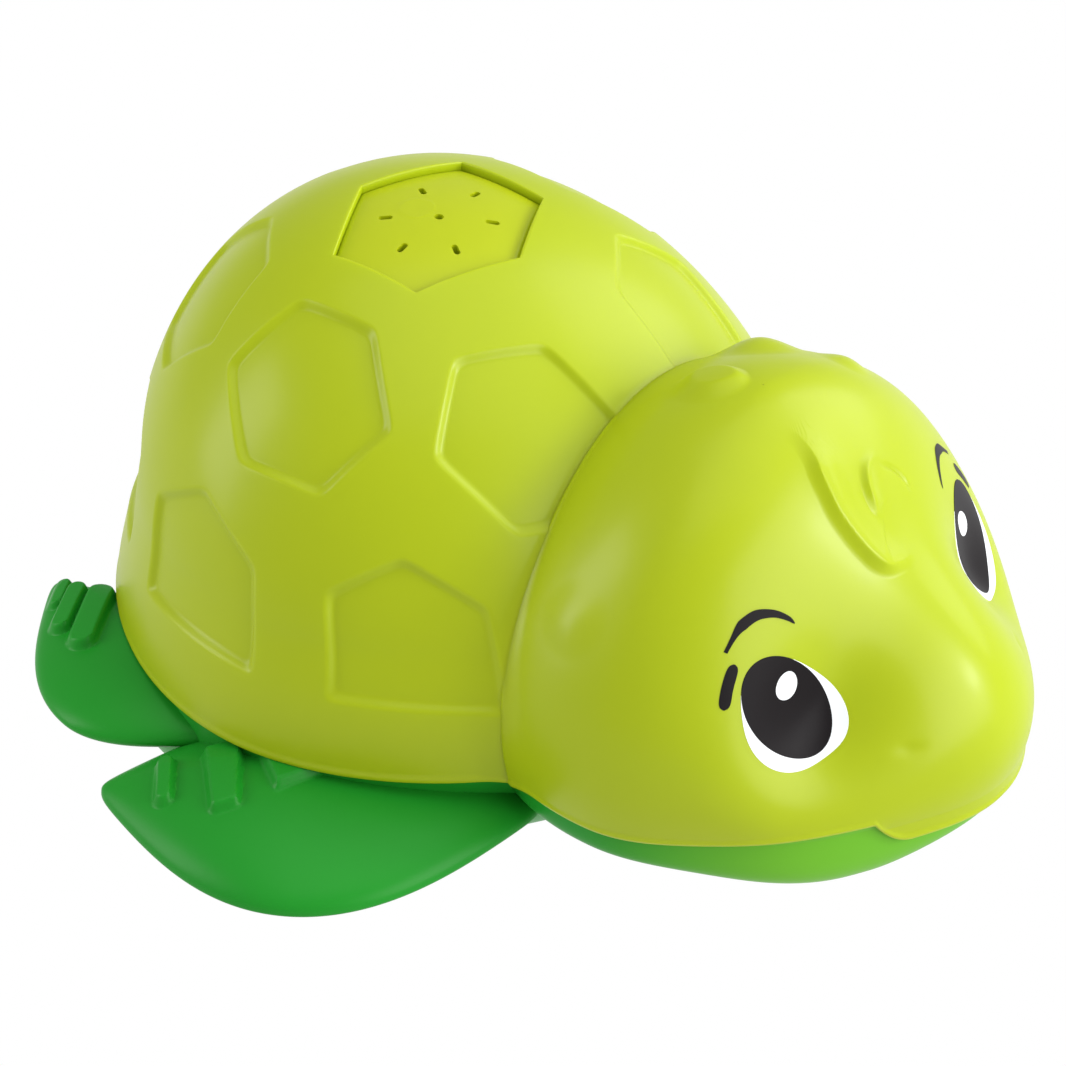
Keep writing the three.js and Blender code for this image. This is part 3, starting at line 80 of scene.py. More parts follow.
# Spray rose: its face lies a step under the shell and has one round jet and six slots
ROSE_STEP = 1.5
ROSE_SKIRT = 5.4
ROSE_CLEAR = 0.35
ROSE_EDGE_SHARE = 0.97
ROSE_EDGE_FALL = 0.25
ROSE_SIDE_STEPS = 24
ROSE_ROWS = 36
ROSE_EDGE_ROWS = (0.985, 0.995, 1.0)
ROSE_POLE = 0.01
JET_LENGTH = 2.4
JET_WIDTH = 1.1
JET_HOLE_RADIUS = 0.8
JET_STEPS = 32
JET_DEPTH = 40.0
JETS = ((10.3, 0.0), (5.2, 7.1), (-5.2, 7.1), (-10.3, 0.0), (-5.2, -7.1), (5.2, -7.1))

# Head
HEAD_CENTRE = np.array((0.0, -57.0, 8.0))
HEAD_HALF_WIDTH = 50.5
HEAD_FRONT = 29.7
HEAD_BACK = 44.1
HEAD_TOP = 49.6
HEAD_PLAN_POWER = 2.02
HEAD_SIDE_POWER = 1.78
SNOUT_BULGE = 19.9
SNOUT_SPREAD = 37.7
SNOUT_PITCH = -3.8
EYE_DENT = 5.0
EYE_DENT_AT = (45.5, 8.2)
BROW_DENT = 6.6
BROW_DENT_AT = (38.2, 15.4)
EYE_DENT_SPREAD = 13.8
BROW_DENT_SPREAD = 18.7
CHEEK_BULGE = 10.0
CHEEK_AT = (45.1, 2.5)
CHEEK_SPREAD = 21.5
HEAD_SLANT = 0.92
# Pitches, in radians, that the rim of the head lies between
RIM_PITCH = (-1.0, 0.6)
# Chin
CHIN_DEPTH = 16.0
CHIN_NOSE_DEPTH = 11.0
CHIN_NOSE_YAW = 30.0
CHIN_SIDE_DEPTH = 9.5
CHIN_SIDE_START = 35.0
CHIN_SIDE_END = 90.0
CHIN_POWER = 4.5
CHIN_MID_DEPTH = 15.0
CHIN_MID_SHARE = 0.8
CHIN_STEP = 0.8
CHIN_LEAN = 0.1
CHIN_LEAN_YAW = 45.0
# Parting of the face: it climbs towards the corners of the mouth and drops there to the lip
CORNER_RISE = 1.8
CORNER_RISE_FROM = -62.0
CORNER_Y = -95.5
LIP_DROP = 3.4
LIP_Y = -99.5

# Lower edge of the upper shell
EDGE_STRIP = 0.6
EDGE_BEAD = 0.25
EDGE_BEAD_HEIGHT = 0.5
# How the edge rolls in: steps inwards and up
EDGE_ROLL = ((0.10, -0.02), (0.30, -0.10), (1.2, -0.10), (2.0, 0.4), (2.2, 4.0))
JAW_ROLL = ((0.3, 0.05), (2.2, 0.05), (2.6, -3.0))

# Blend between head and shell: its reach at the top, the extra at the foot, and the heights between
CREASE_TOP = 1.0
CREASE_WIDER = 4.0
CREASE_FROM = 42.0
CREASE_OVER = 34.0
BLEND_Y = -20.0
# Skin this deep inside the other moulding is left out
SHELL_HIDDEN = 4.0
HEAD_HIDDEN = 5.0
HEAD_HIDDEN_Y = -60.0

# Hull
HULL_STEP = 1.2
HULL_DEPTH = 29.0
HULL_SIDE_POWER = 3.2
HULL_END_POWER = 5.0
HULL_SHIFT_Y = 10.0

# Openings in the belly: places in plan, tops measured up from the belly's flat
INLET_AT = (0.0, -15.0)
INLET_RADIUS = 10.0
BUTTON_AT = (30.0, -12.0)
BUTTON_RADIUS = 5.2
DOOR_AT = (0.0, 21.5)
DOOR_HALF = (27.5, 19.3)
DOOR_CORNER = 4.0
OPENING_TOP = 8.0
TAB_RADIUS = 5.5
TAB_END_Y = 53.2
TAB_TOP = 3.7
SCREWS_AT = ((40.0, -26.0), (-40.0, -26.0), (42.0, 22.0), (-42.0, 22.0))
SCREW_RADIUS = 3.0
SCREW_TOP = 19.0
CUTTER_UNDER = 2.0
CUTTER_STEPS = 64

# Colours, linear
LIME = (0.405, 0.495, 0.006)
LIME_DEEP = (0.31, 0.41, 0.006)
# Painted light: the rose is the same lime plastic as the shell, given a lighter copy of the lime to stand
# in for the light the plate catches
LIME_ROSE_LIT = (0.43, 0.505, 0.006)
GREEN = (0.014, 0.285, 0.020)
GREEN_DEEP = (0.009, 0.220, 0.018)
# Painted bounce light: a lighter yellow-green on the jaw, standing in for light thrown up from the floor
GREEN_JAW_BOUNCE_LIT = (0.20, 0.52, 0.02)
# The jaw's painted bounce light: its share, and the places along the toy between which it comes in
JAW_BOUNCE_SHARE = 0.7
JAW_BOUNCE_Y = (-52.0, -90.0)
INK = (0.012, 0.010, 0.011)
EYE_WHITE = (0.88, 0.91, 0.93)
PALE = (0.70, 0.72, 0.66)
PALE_DEEP = (0.55, 0.57, 0.52)
DARK = (0.035, 0.037, 0.040)
DARK_DEEP = (0.02, 0.02, 0.022)
RUBBER = (0.06, 0.062, 0.065)
RUBBER_DEEP = (0.04, 0.04, 0.042)
STEEL = (0.60, 0.61, 0.62)
STEEL_DEEP = (0.48, 0.48, 0.49)
WRAP = (0.25, 0.27, 0.30)
WRAP_DEEP = (0.18, 0.19, 0.22)
BOARD = (0.015, 0.14, 0.05)
BOARD_DEEP = (0.01, 0.09, 0.03)
WHITE = (1.0, 1.0, 1.0, 1.0)

# The floor's size in metres, and how far it lies under the belly
FLOOR_SIZE = 6.0
FLOOR_GAP = 0.05
# Light that the floor and the sky give to the toy, as shares of white
FLOOR_BOUNCE = 0.9
SKY_LIGHT = 0.42


# Mesh helpers

BISECT_STEPS = 50
FINE = 1.0


def smooth(t):
    k = np.clip(t, 0.0, 1.0)
    return k * k * (3.0 - 2.0 * k)


def power(value, exponent):
    return np.sign(value) * np.abs(value) ** exponent


def unit(v):
    return v / np.linalg.norm(v, axis=-1, keepdims=True)


def fold(points):
    """The same points with the left side laid over the right."""
    return np.concatenate((np.abs(points[..., :1]), points[..., 1:]), -1)


def bisect(low, high, under):
    """The values from low to high at which the test stops holding."""
    for _ in range(BISECT_STEPS):
        mid = (low + high) / 2
        holds = under(mid)
        low = np.where(holds, mid, low)
        high = np.where(holds, high, mid)
    return low


def ring(columns):
    """Yaw angles all the way round."""
    return np.linspace(-np.pi, np.pi, columns, endpoint=False)


def heading(yaw, pitch):
    a, e = math.radians(yaw), math.radians(pitch)
    return np.array((math.sin(a) * math.cos(e), -math.cos(a) * math.cos(e), math.sin(e)))


def make(name, points, quads, sharp=40.0):
    """A mesh object from points in millimetres from the rim plane and an array of quads."""
    mesh = bpy.data.meshes.new(name)
    co = (np.asarray(points, float).reshape(-1, 3) + (0.0, 0.0, RIM_Z)) * MM
    quads = np.asarray(quads, np.int32)
    mesh.vertices.add(len(co))
    mesh.vertices.foreach_set("co", co.ravel())
    mesh.loops.add(quads.size)
    mesh.loops.foreach_set("vertex_index", quads.ravel())
    mesh.polygons.add(len(quads))
    mesh.polygons.foreach_set("loop_start", np.arange(0, quads.size, quads.shape[1], dtype=np.int32))
    mesh.update(calc_edges=True)
    mesh.validate()
    mesh.polygons.foreach_set("use_smooth", np.ones(len(mesh.polygons), bool))
    mesh.set_sharp_from_angle(angle=math.radians(sharp))
    obj = bpy.data.objects.new(name, mesh)
    bpy.context.scene.collection.objects.link(obj)
    return obj


def grid_quads(rows, columns, wrap):
    last = columns if wrap else columns - 1
    j, i = np.meshgrid(np.arange(rows - 1), np.arange(last), indexing="ij")
    k = (i + 1) % columns
    this, above = j * columns, (j + 1) * columns
    return np.stack((this + i, this + k, above + k, above + i), -1).reshape(-1, 4)


def grid_normals(points):
    """Outward unit normals of a grid of rows that wrap round, each row anticlockwise seen from above."""
    around = np.roll(points, -1, 1) - np.roll(points, 1, 1)
    up = np.gradient(points, axis=0)
    return unit(np.cross(around, up) + 1e-12)


def join(name, objects):
    bpy.ops.object.select_all(action="DESELECT")
    for obj in objects:
        obj.select_set(True)
    bpy.context.view_layer.objects.active = objects[0]
    bpy.ops.object.join()
    objects[0].name = name
    return objects[0]


# Shell surface

def rim_xy(yaw, inset=0.0):
    x = power(np.sin(yaw), 2 / RIM_POWER) * (RIM_HALF[0] - inset)
    y = -power(np.cos(yaw), 2 / RIM_POWER) * (RIM_HALF[1] - inset)
    return x, y


def dome(yaw, rise, flared=True):
    spread = np.cos(rise) ** (2 / DOME_POWER)
    z = np.sin(rise) ** (2 / DOME_POWER) * DOME_HEIGHT
    x = np.sin(yaw) * spread * DOME_HALF[0]
    y = DOME_SHIFT_Y + DOME_LEAN * z - np.cos(yaw) * spread * DOME_HALF[1]
    rx, ry = rim_xy(yaw)
    flare = smooth((FLARE_HEIGHT - z) / FLARE_HEIGHT) * flared
    return np.stack((x + (rx - x) * flare, y + (ry - y) * flare, z), -1)


def outside_shell(p):
    """Rough distance from the shell's surface, positive outside."""
    z = np.clip(p[..., 2], 0.0, DOME_HEIGHT * DOME_TOP_SHARE)
    spread = (1.0 - (z / DOME_HEIGHT) ** DOME_POWER) ** (1 / DOME_POWER)
    flare = smooth((FLARE_HEIGHT - z) / FLARE_HEIGHT)
    mid_y = (DOME_SHIFT_Y + DOME_LEAN * z) * (1 - flare)
    half_x = spread * DOME_HALF[0] * (1 - flare) + RIM_HALF[0] * flare
    half_y = spread * DOME_HALF[1] * (1 - flare) + RIM_HALF[1] * flare
    level = np.hypot(p[..., 0] / half_x, (p[..., 1] - mid_y) / half_y)
    reach = np.hypot(p[..., 0], p[..., 1] - mid_y)
    slant = np.sqrt(1.0 - DOME_SLANT * (z / DOME_HEIGHT) ** 2)
    return reach * (1.0 - 1.0 / np.maximum(level, 1e-3)) * slant


def pocket_reach(p):
    """Distance outside the six-sided spray pocket, measured in the plane of the rose."""
    tilt = math.radians(ROSE_TILT)
    u = np.abs(p[..., 0])
    v = np.abs((p[..., 1] - ROSE_Y) * math.cos(tilt) + (p[..., 2] - ROSE_Z) * math.sin(tilt))
    run, fall = ROSE_HALF_WIDTH, ROSE_HALF_LENGTH - ROSE_SHOULDER
    slant = (u * fall + (v - ROSE_HALF_LENGTH) * run) / math.hypot(run, fall)
    return np.maximum(u - ROSE_HALF_WIDTH, slant)


def polygon_distance(q, corners):
    """Distance inside a panel's edges, with softened corners; corners are yaw and polar angles."""
    around = [heading(yaw, 90.0 - polar) for yaw, polar in corners]
    middle = unit(sum(around))
    total = 0.0
    for a, b in zip(around, around[1:] + around[:1]):
        normal = unit(np.cross(a, b))
        normal *= np.sign(normal @ middle)
        total = total + np.exp(-np.clip(q @ normal, -30.0, 60.0) / PANEL_CORNER)
    return -PANEL_CORNER * np.log(total)


def panel_depth(p):
    """How deep the panels lie at points of the plain shell."""
    q = np.stack((p[..., 0], p[..., 1] - DOME_LEAN * p[..., 2] - PATTERN_Y, p[..., 2]), -1)
    shapes = []
    for yaw, tilt in RING_YAWS:
        inner, mid, outer = (polar + tilt for polar in RING_POLAR)
        a, b, c = RING_SPAN
        shapes.append([(yaw - a, inner), (yaw + a, inner), (yaw + b, mid),
                       (yaw + c, outer), (yaw - c, outer), (yaw - b, mid)])
    for yaw, span in LOW_YAWS:
        top, shoulder, foot = LOW_POLAR
        shapes.append([(yaw, top), (yaw + span, shoulder), (yaw + span, foot),
                       (yaw - span, foot), (yaw - span, shoulder)])
    depth = np.zeros(p.shape[:-1])
    for corners in shapes:
        inside = polygon_distance(fold(q), corners)
        depth = np.maximum(depth, PANEL_DEPTH * smooth(inside / PANEL_WALL + PANEL_WALL_START))
    return depth


# Head surface

SNOUT = heading(0.0, SNOUT_PITCH)
EYE_HOLLOW = heading(*EYE_DENT_AT)
BROW_HOLLOW = heading(*BROW_DENT_AT)
CHEEK = heading(*CHEEK_AT)


def hump(d, centre, spread):
    angle = np.arccos(np.clip(d @ centre, -1.0, 1.0))
    return np.exp(-(angle / math.radians(spread)) ** 2)


def head_radius(d):
    reach = np.where(d[..., 1] < 0, HEAD_FRONT, HEAD_BACK)
    plan = np.abs(d[..., 0] / HEAD_HALF_WIDTH) ** HEAD_PLAN_POWER
    plan = (plan + np.abs(d[..., 1] / reach) ** HEAD_PLAN_POWER) ** (HEAD_SIDE_POWER / HEAD_PLAN_POWER)
    r = (plan + np.abs(d[..., 2] / HEAD_TOP) ** HEAD_SIDE_POWER) ** (-1 / HEAD_SIDE_POWER)
    one_side = fold(d)
    r = r + SNOUT_BULGE * hump(d, SNOUT, SNOUT_SPREAD)
    r = r - EYE_DENT * hump(one_side, EYE_HOLLOW, EYE_DENT_SPREAD)
    r = r - BROW_DENT * hump(one_side, BROW_HOLLOW, BROW_DENT_SPREAD)
    return r + CHEEK_BULGE * hump(one_side, CHEEK, CHEEK_SPREAD)


def head_point(d, r):
    return HEAD_CENTRE + d * r[..., None]


def directions(yaw, pitch):
    return np.stack((np.sin(yaw) * np.cos(pitch), -np.cos(yaw) * np.cos(pitch), np.sin(pitch)), -1)


def rim_pitch(yaw, height=0.0):
    """The pitch, for each yaw, at which the head's surface stands at this height over the rim plane."""
    def below(pitch):
        d = directions(yaw, pitch)
        return HEAD_CENTRE[2] + head_radius(d) * d[..., 2] < height

    return bisect(np.full(yaw.shape, RIM_PITCH[0]), np.full(yaw.shape, RIM_PITCH[1]), below)


def chin_depth(yaw):
    turn = np.abs(np.degrees(yaw))
    nose = CHIN_NOSE_DEPTH + (CHIN_DEPTH - CHIN_NOSE_DEPTH) * smooth(turn / CHIN_NOSE_YAW)
    side = smooth((turn - CHIN_SIDE_START) / (CHIN_SIDE_END - CHIN_SIDE_START))
    return nose + (CHIN_SIDE_DEPTH - CHIN_DEPTH) * side


def chin_point(yaw, fall, inset):
    """A point of the jaw; fall runs from 0 at the rim plane to a right angle underneath."""
    edge = directions(yaw, rim_pitch(yaw))
    spread = np.cos(fall) ** (2 / CHIN_POWER)
    depth = CHIN_MID_DEPTH + (chin_depth(yaw) - CHIN_MID_DEPTH) * smooth(spread / CHIN_MID_SHARE)
    depth = np.sin(fall) ** (2 / CHIN_POWER) * (depth - inset)
    lean = CHIN_LEAN * smooth(1.0 - np.abs(np.degrees(yaw)) / CHIN_LEAN_YAW)
    reach = head_radius(edge) - inset
    across = (reach - lean * depth) * spread
    p = HEAD_CENTRE + edge * np.stack((across, across, reach), -1)
    p[..., 2] -= depth
    return p


def face_point(yaw, height, inset):
    """A point of the head or the jaw at this height over the rim plane."""
    d = directions(yaw, rim_pitch(yaw, np.maximum(height, 0.0)))
    above = head_point(d, head_radius(d) - inset)
    base = chin_point(yaw, np.zeros(height.shape), inset)[..., 2]
    depth = np.clip((base - height) / (chin_depth(yaw) - inset), 0.0, 1.0)
    below = chin_point(yaw, np.arcsin(depth ** (CHIN_POWER / 2)), inset)
    return np.where((height > base)[..., None], above, below)


def outside_head(p):
    """Rough distance from the head's surface, positive outside."""
    q = p - HEAD_CENTRE
    length = np.linalg.norm(q, axis=-1)
    return (length - head_radius(q / length[..., None])) * HEAD_SLANT


def parting(yaw):
    """Height of the line between the head and the jaw."""
    edge = directions(yaw, rim_pitch(yaw))
    y = head_point(edge, head_radius(edge))[..., 1]
    rise = CORNER_RISE * smooth((CORNER_RISE_FROM - y) / (CORNER_RISE_FROM - CORNER_Y))
    past = np.clip((CORNER_Y - y) / (CORNER_Y - LIP_Y), 0.0, 1.0)
    return rise - (CORNER_RISE + LIP_DROP) * (1.0 - (1.0 - past) ** 2)


# Raised detail of the head

CURL = ((-4.9, -63.9, 55.3), (-4.5, -67.1, 53.3), (-5.2, -70.0, 50.9), (-6.2, -71.8, 49.0),
        (-6.9, -73.9, 46.7), (-7.3, -76.1, 43.9), (-6.9, -78.7, 40.8), (-6.1, -81.0, 38.1),
        (-5.1, -82.8, 36.3), (-3.3, -84.0, 35.2), (0.1, -84.6, 34.8), (4.2, -84.1, 35.0))
CURL_EYE = ((11.7, -74.8, 44.4), (9.1, -74.0, 46.1), (6.2, -74.0, 46.7), (3.5, -74.6, 46.3),
            (1.7, -75.8, 45.0), (0.9, -77.0, 43.6), (0.5, -78.5, 41.8), (1.0, -79.6, 40.4))
CURL_LINE = ((7.0, -74.9, 45.4), (9.5, -75.8, 43.8), (11.1, -77.3, 41.5), (11.1, -78.9, 39.4))
CURL_CHART_AT = (0.0, -76.0, 44.5)
CURL_CHART_REACH = 30.0
CURL_HEIGHT = 1.5
CURL_SLOPE = 2.2
CURL_FADE = 4.2
CURL_EYE_HEIGHT = 1.0
CURL_EYE_SLOPE = 1.4
CURL_EYE_FADE = 2.2
CURL_LINE_DEPTH = 0.4
CURL_LINE_WIDTH = 0.45
SWELL_POWER = 1.5
# Shares of a curl's length: where it starts, and over how much it comes in and goes out
CURL_IN = (0.0, 0.25)
CURL_OUT = 0.3
CURL_EYE_IN = (0.15, 0.4)
CURL_EYE_OUT = 0.3
# Pebble of the crown: plan centre, half sizes, height, and shares of its half width that slope
CROWN_AT = (-2.4, -48.4)
CROWN_HALF = (6.2, 7.0)
CROWN_HEIGHT = 1.2
CROWN_ABOVE = 30.0
CROWN_INNER_SLOPE = 0.4
CROWN_OUTER_SLOPE = 0.9
# Soft swellings: centre, reach, height
BUMPS = (((17.0, -45.5, 51.5), 8.5, 1.9), ((24.0, -58.0, 50.0), 5.5, 0.8),
         ((-40.2, -48.6, 31.7), 7.0, 0.5), ((40.2, -48.6, 31.7), 7.0, 0.5))
# Dimples on either side of the nose
DIMPLES = ((-18.5, -98.3, 13.5), (18.5, -98.3, 13.5))
DIMPLE_HALF = (2.2, 2.2, 1.0)
DIMPLE_DEPTH = 0.5
CHART_LIMIT = 0.05


class Chart:
    """A flat chart of the head round one direction, in millimetres at that direction's radius."""

    def __init__(self, point):
        offset = np.asarray(point, float) - HEAD_CENTRE
        self.radius = np.linalg.norm(offset)
        self.out = offset / self.radius
        self.right = unit(np.cross((0.0, 0.0, 1.0), self.out))
        self.up = np.cross(self.out, self.right)

    def flat(self, d):
        k = np.maximum(d @ self.out, CHART_LIMIT)
        return np.stack((d @ self.right / k, d @ self.up / k), -1) * self.radius

    def direction(self, u, v):
        offset = np.multiply.outer(u, self.right) + np.multiply.outer(v, self.up)
        return unit(self.out * self.radius + offset)


def curve_through(points, steps=16):
    """A Catmull-Rom curve through the points."""
    p = np.asarray(points, float)
    p = np.concatenate((2 * p[:1] - p[1:2], p, 2 * p[-1:] - p[-2:-1]))
    t = np.linspace(0, 1, steps, endpoint=False)[:, None]
    parts = []
    for a, b, c, d in zip(p, p[1:], p[2:], p[3:]):
        parts.append(0.5 * (2 * b + (c - a) * t + (2 * a - 5 * b + 4 * c - d) * t ** 2
                            + (3 * b - a - 3 * c + d) * t ** 3))
    parts.append(p[-2:-1])
    return np.concatenate(parts)


def along_curve(q, curve):
    """Distance of flat points from the curve, positive on its left, and how far along they lie, 0 to 1."""
    nearest = np.argmin(((q[:, None, :] - curve[None]) ** 2).sum(-1), 1)
    tangent = unit(np.gradient(curve, axis=0))[nearest]
    offset = q - curve[nearest]
    side = tangent[:, 0] * offset[:, 1] - tangent[:, 1] * offset[:, 0]
    distance = np.hypot(offset[:, 0], offset[:, 1])
    return np.where(side >= 0, distance, -distance), nearest / (len(curve) - 1)


def crown_pebble(p):
    inward = (p[..., 0] - CROWN_AT[0]) / CROWN_HALF[0]
    level = np.hypot(inward, (p[..., 1] - CROWN_AT[1]) / CROWN_HALF[1])
    slope = CROWN_OUTER_SLOPE + (CROWN_INNER_SLOPE - CROWN_OUTER_SLOPE) * smooth(inward + 0.5)
    return CROWN_HEIGHT * smooth((1.0 - level) / slope) * (p[..., 2] > CROWN_ABOVE)


def swell(s, slope, fade):
    """Climbs to a crest at distance 0 over the slope's width, then dies away beyond it."""
    climb = np.clip((s + slope) / slope, 0.0, 1.0) ** SWELL_POWER
    return climb * np.exp(-(np.maximum(s, 0.0) / fade) ** 2)


def come_and_go(t, start, out):
    """Strength along a curl, from nothing to full and back."""
    return smooth((t - start[0]) / start[1]) * smooth((1.0 - t) / out)


def head_detail(d, p):
    """How far the head is raised by its pebbles, curl and dimples."""
    raised = crown_pebble(p)
    for centre, reach, height in BUMPS:
        distance = np.linalg.norm(p - centre, axis=-1)
        raised += height * smooth((reach - distance) / reach)
    for centre in DIMPLES:
        distance = np.linalg.norm((p - centre) / DIMPLE_HALF, axis=-1)
        raised -= DIMPLE_DEPTH * np.exp(-distance ** 2)
    chart = Chart(CURL_CHART_AT)
    flat = chart.flat(d)
    near = (np.linalg.norm(flat, axis=-1) < CURL_CHART_REACH) & (d @ chart.out > 0.5)
    q = flat[near]

    def flat_curve(points):
        return curve_through(chart.flat(unit(np.asarray(points) - HEAD_CENTRE)))

    s, t = along_curve(q, flat_curve(CURL))
    added = CURL_HEIGHT * come_and_go(t, CURL_IN, CURL_OUT) * swell(s, CURL_SLOPE, CURL_FADE)
    s, t = along_curve(q, flat_curve(CURL_EYE))
    strength = come_and_go(t, CURL_EYE_IN, CURL_EYE_OUT)
    added += CURL_EYE_HEIGHT * strength * swell(s, CURL_EYE_SLOPE, CURL_EYE_FADE)
    s, t = along_curve(q, flat_curve(CURL_LINE))
    added -= CURL_LINE_DEPTH * np.sin(np.pi * t) * np.exp(-(s / CURL_LINE_WIDTH) ** 2)
    raised[near] += added
    return raised


def fillet(distance, reach):
    """How far a surface rises where another one, at this distance, is blended into it."""
    return np.where(np.abs(distance) < reach, (reach - np.abs(distance)) ** 2 / (4 * reach), 0.0)


def crease_reach(z):
    return CREASE_TOP + CREASE_WIDER * smooth((CREASE_FROM - z) / CREASE_OVER)


def edge_bead(height):
    """The rounded bead that runs along the lower edge of the skin."""
    return EDGE_BEAD * np.exp(-((height - EDGE_BEAD_HEIGHT) / EDGE_BEAD_HEIGHT) ** 2)


def edge_rows(edge, outward, roll):
    """Rows that roll an edge inwards and close it with a narrow inner wall."""
    return np.stack([edge - outward * inset + (0.0, 0.0, lift) for inset, lift in roll])


# Upper shell: the carapace with its panels, blended into the head

SHELL_GRID = (900, 230)
HEAD_GRID = (840, 260)
STRIP_ROWS = 16
HEAD_POLE = 0.002
DETAIL_START = 1 / 12


def shell_mesh():
    columns, rows = (int(steps * FINE) for steps in SHELL_GRID)
    yaw = ring(columns)
    top = bisect(np.full(columns, POCKET_RISE), np.full(columns, np.pi / 2),
                 lambda rise: pocket_reach(dome(yaw, rise)) > 0)
    t = np.linspace(0, 1, rows)[:, None]
    around = yaw[None] + 0 * t
    base = dome(around, top[None] * t)
    normals = grid_normals(base)
    plain = dome(around, top[None] * t, flared=False)
    points = base - normals * panel_depth(plain)[..., None]
    rise = fillet(outside_head(base), crease_reach(base[..., 2]))
    points = points + normals * (rise * (base[..., 1] < BLEND_Y))[..., None]
    outward = unit(normals[0] * (1, 1, 0))
    points = points + outward[None] * edge_bead(base[..., 2])[..., None]
    tilt = math.radians(ROSE_TILT)
    down = np.array((0.0, math.sin(tilt), -math.cos(tilt)))
    inward = unit((np.array((0.0, ROSE_Y, ROSE_Z)) - points[-1]) * (1, 1, 0))
    wall = np.stack([points[-1] + inward * inset + down * fall for inset, fall in POCKET_ROLL])
    points = np.concatenate((edge_rows(points[0], outward, EDGE_ROLL)[::-1], points, wall))
    hidden = outside_head(points) < -SHELL_HIDDEN
    quads = grid_quads(len(points), columns, True)
    quads = quads[~hidden.reshape(-1)[quads].all(1)]
    return make("shell_skin", points, quads)


def head_mesh():
    columns, rows = (int(steps * FINE) for steps in HEAD_GRID)
    yaw = ring(columns)
    edge = parting(yaw)
    strip = np.maximum(edge, 0.0) + EDGE_STRIP
    lowest = rim_pitch(yaw, strip)
    t = np.linspace(0, 1, rows)[:, None]
    pitch = lowest[None] + (np.pi / 2 - HEAD_POLE - lowest[None]) * t
    d = directions(yaw[None] + 0 * t, pitch)
    r = head_radius(d)
    base = head_point(d, r)
    raised = head_detail(d, base) * smooth(t / DETAIL_START)
    points = head_point(d, r + raised)
    away = outside_shell(base)
    points = points + grid_normals(base) * fillet(away, crease_reach(base[..., 2]))[..., None]
    up = np.linspace(0, 1, STRIP_ROWS)[:-1, None]
    lip = face_point(yaw[None] + 0 * up, edge[None] + (strip - edge)[None] * up, 0.0)
    lip = lip + (points[0] - base[0])[None]
    points = np.concatenate((lip, points))
    outward = unit((points[0] - HEAD_CENTRE) * (1, 1, 0))
    points = points + outward[None] * edge_bead(points[..., 2] - edge)[..., None]
    points = np.concatenate((edge_rows(points[0], outward, EDGE_ROLL)[::-1], points))
    hidden = (outside_shell(points) < -HEAD_HIDDEN) & (points[..., 1] > HEAD_HIDDEN_Y)
    quads = grid_quads(len(points), columns, True)
    quads = quads[~hidden.reshape(-1)[quads].all(1)]
    return make("head_skin", points, quads)


# Printed eyes: thin films that follow the head's surface

EYE_AT = (-28.08, -80.74, 21.07)
FILM_STEP = 0.05
# Round prints: centre, half sizes, tilt in degrees, and how far the outline leaves an ellipse
WHITE_ROUND = ((1.26, -0.87), (10.4, 8.05), 134.2, (0.045, -0.052))
IRIS_ROUND = ((0.51, 0.08), (9.74, 6.6), 126.4, (0.0, 0.0))
LIGHT_ROUND = ((0.02, 3.5), (2.45, 1.84), 71.9, (0.016, 0.004))
BROW = ((-9.3, 9.6), (-8.03, 12.01), (-7.07, 13.43), (-5.92, 14.47), (-4.66, 15.22), (-3.16, 15.47),
        (-1.46, 15.35), (0.47, 14.61), (1.6, 13.7))
BROW_WIDTH = 1.75
# Shares of the brow: its width at the start, how it grows and where it is full, and the length of its point
BROW_START = 0.35
BROW_GROWTH = 1.3
BROW_FULL = 0.55
BROW_POINT = 0.5
DASH = ((-9.5, 1.3), (-9.0, 4.4), (-8.0, 7.8))
DASH_WIDTH = 1.75
DASH_POWER = 6
# Rows and columns of a round print, the share of its radius at which the rim turns under, and how far
ROUND_STEPS = (97, 25)
ROUND_RIM = 0.96
ROUND_UNDER = 0.3
STROKE_STEPS = 12
STROKE_COLUMNS = 9
STROKE_TIP = 0.02


def film(name, chart, u, v, lift, material, mirror):
    """A grid film laid on the head at flat places u, v, raised a little off the surface."""
    d = chart.direction(u, v)
    p = head_point(d, head_radius(d) + lift)
    if mirror:
        p = (p * (-1.0, 1.0, 1.0))[:, ::-1]
    obj = make(name, p, grid_quads(p.shape[0], p.shape[1], False))
    obj.data.materials.append(material)
    return obj


def round_film(name, chart, outline, lift, material, mirror):
    """A round print whose rim turns under the head's surface."""
    at, halves, tilt, skew = outline
    angle = np.linspace(0, 2 * np.pi, ROUND_STEPS[0])[:, None]
    reach = 1.0 + skew[0] * np.cos(3 * angle) + skew[1] * np.sin(3 * angle)
    t = np.append(np.linspace(0.0, ROUND_RIM, ROUND_STEPS[1]), 1.0)[None]
    along = halves[0] * reach * np.cos(angle) * t
    across = halves[1] * reach * np.sin(angle) * t
    turn = math.radians(tilt)
    u = at[0] + along * math.cos(turn) - across * math.sin(turn)
    v = at[1] + along * math.sin(turn) + across * math.cos(turn)
    return film(name, chart, u, v, np.where(t > ROUND_RIM, -ROUND_UNDER, lift), material, mirror)


def stroke_film(name, chart, points, widths, lift, material, mirror):
    """A printed stroke along a curve, its width given along the curve."""
    middle = curve_through(points, STROKE_STEPS)
    tangent = unit(np.gradient(middle, axis=0))
    side = np.stack((-tangent[:, 1], tangent[:, 0]), -1)
    half = widths(np.linspace(0, 1, len(middle))) / 2
    across = np.linspace(-1, 1, STROKE_COLUMNS)
    flat = middle[:, None] + side[:, None] * (half[:, None] * across[None])[..., None]
    return film(name, chart, flat[..., 0], flat[..., 1], lift, material, mirror)


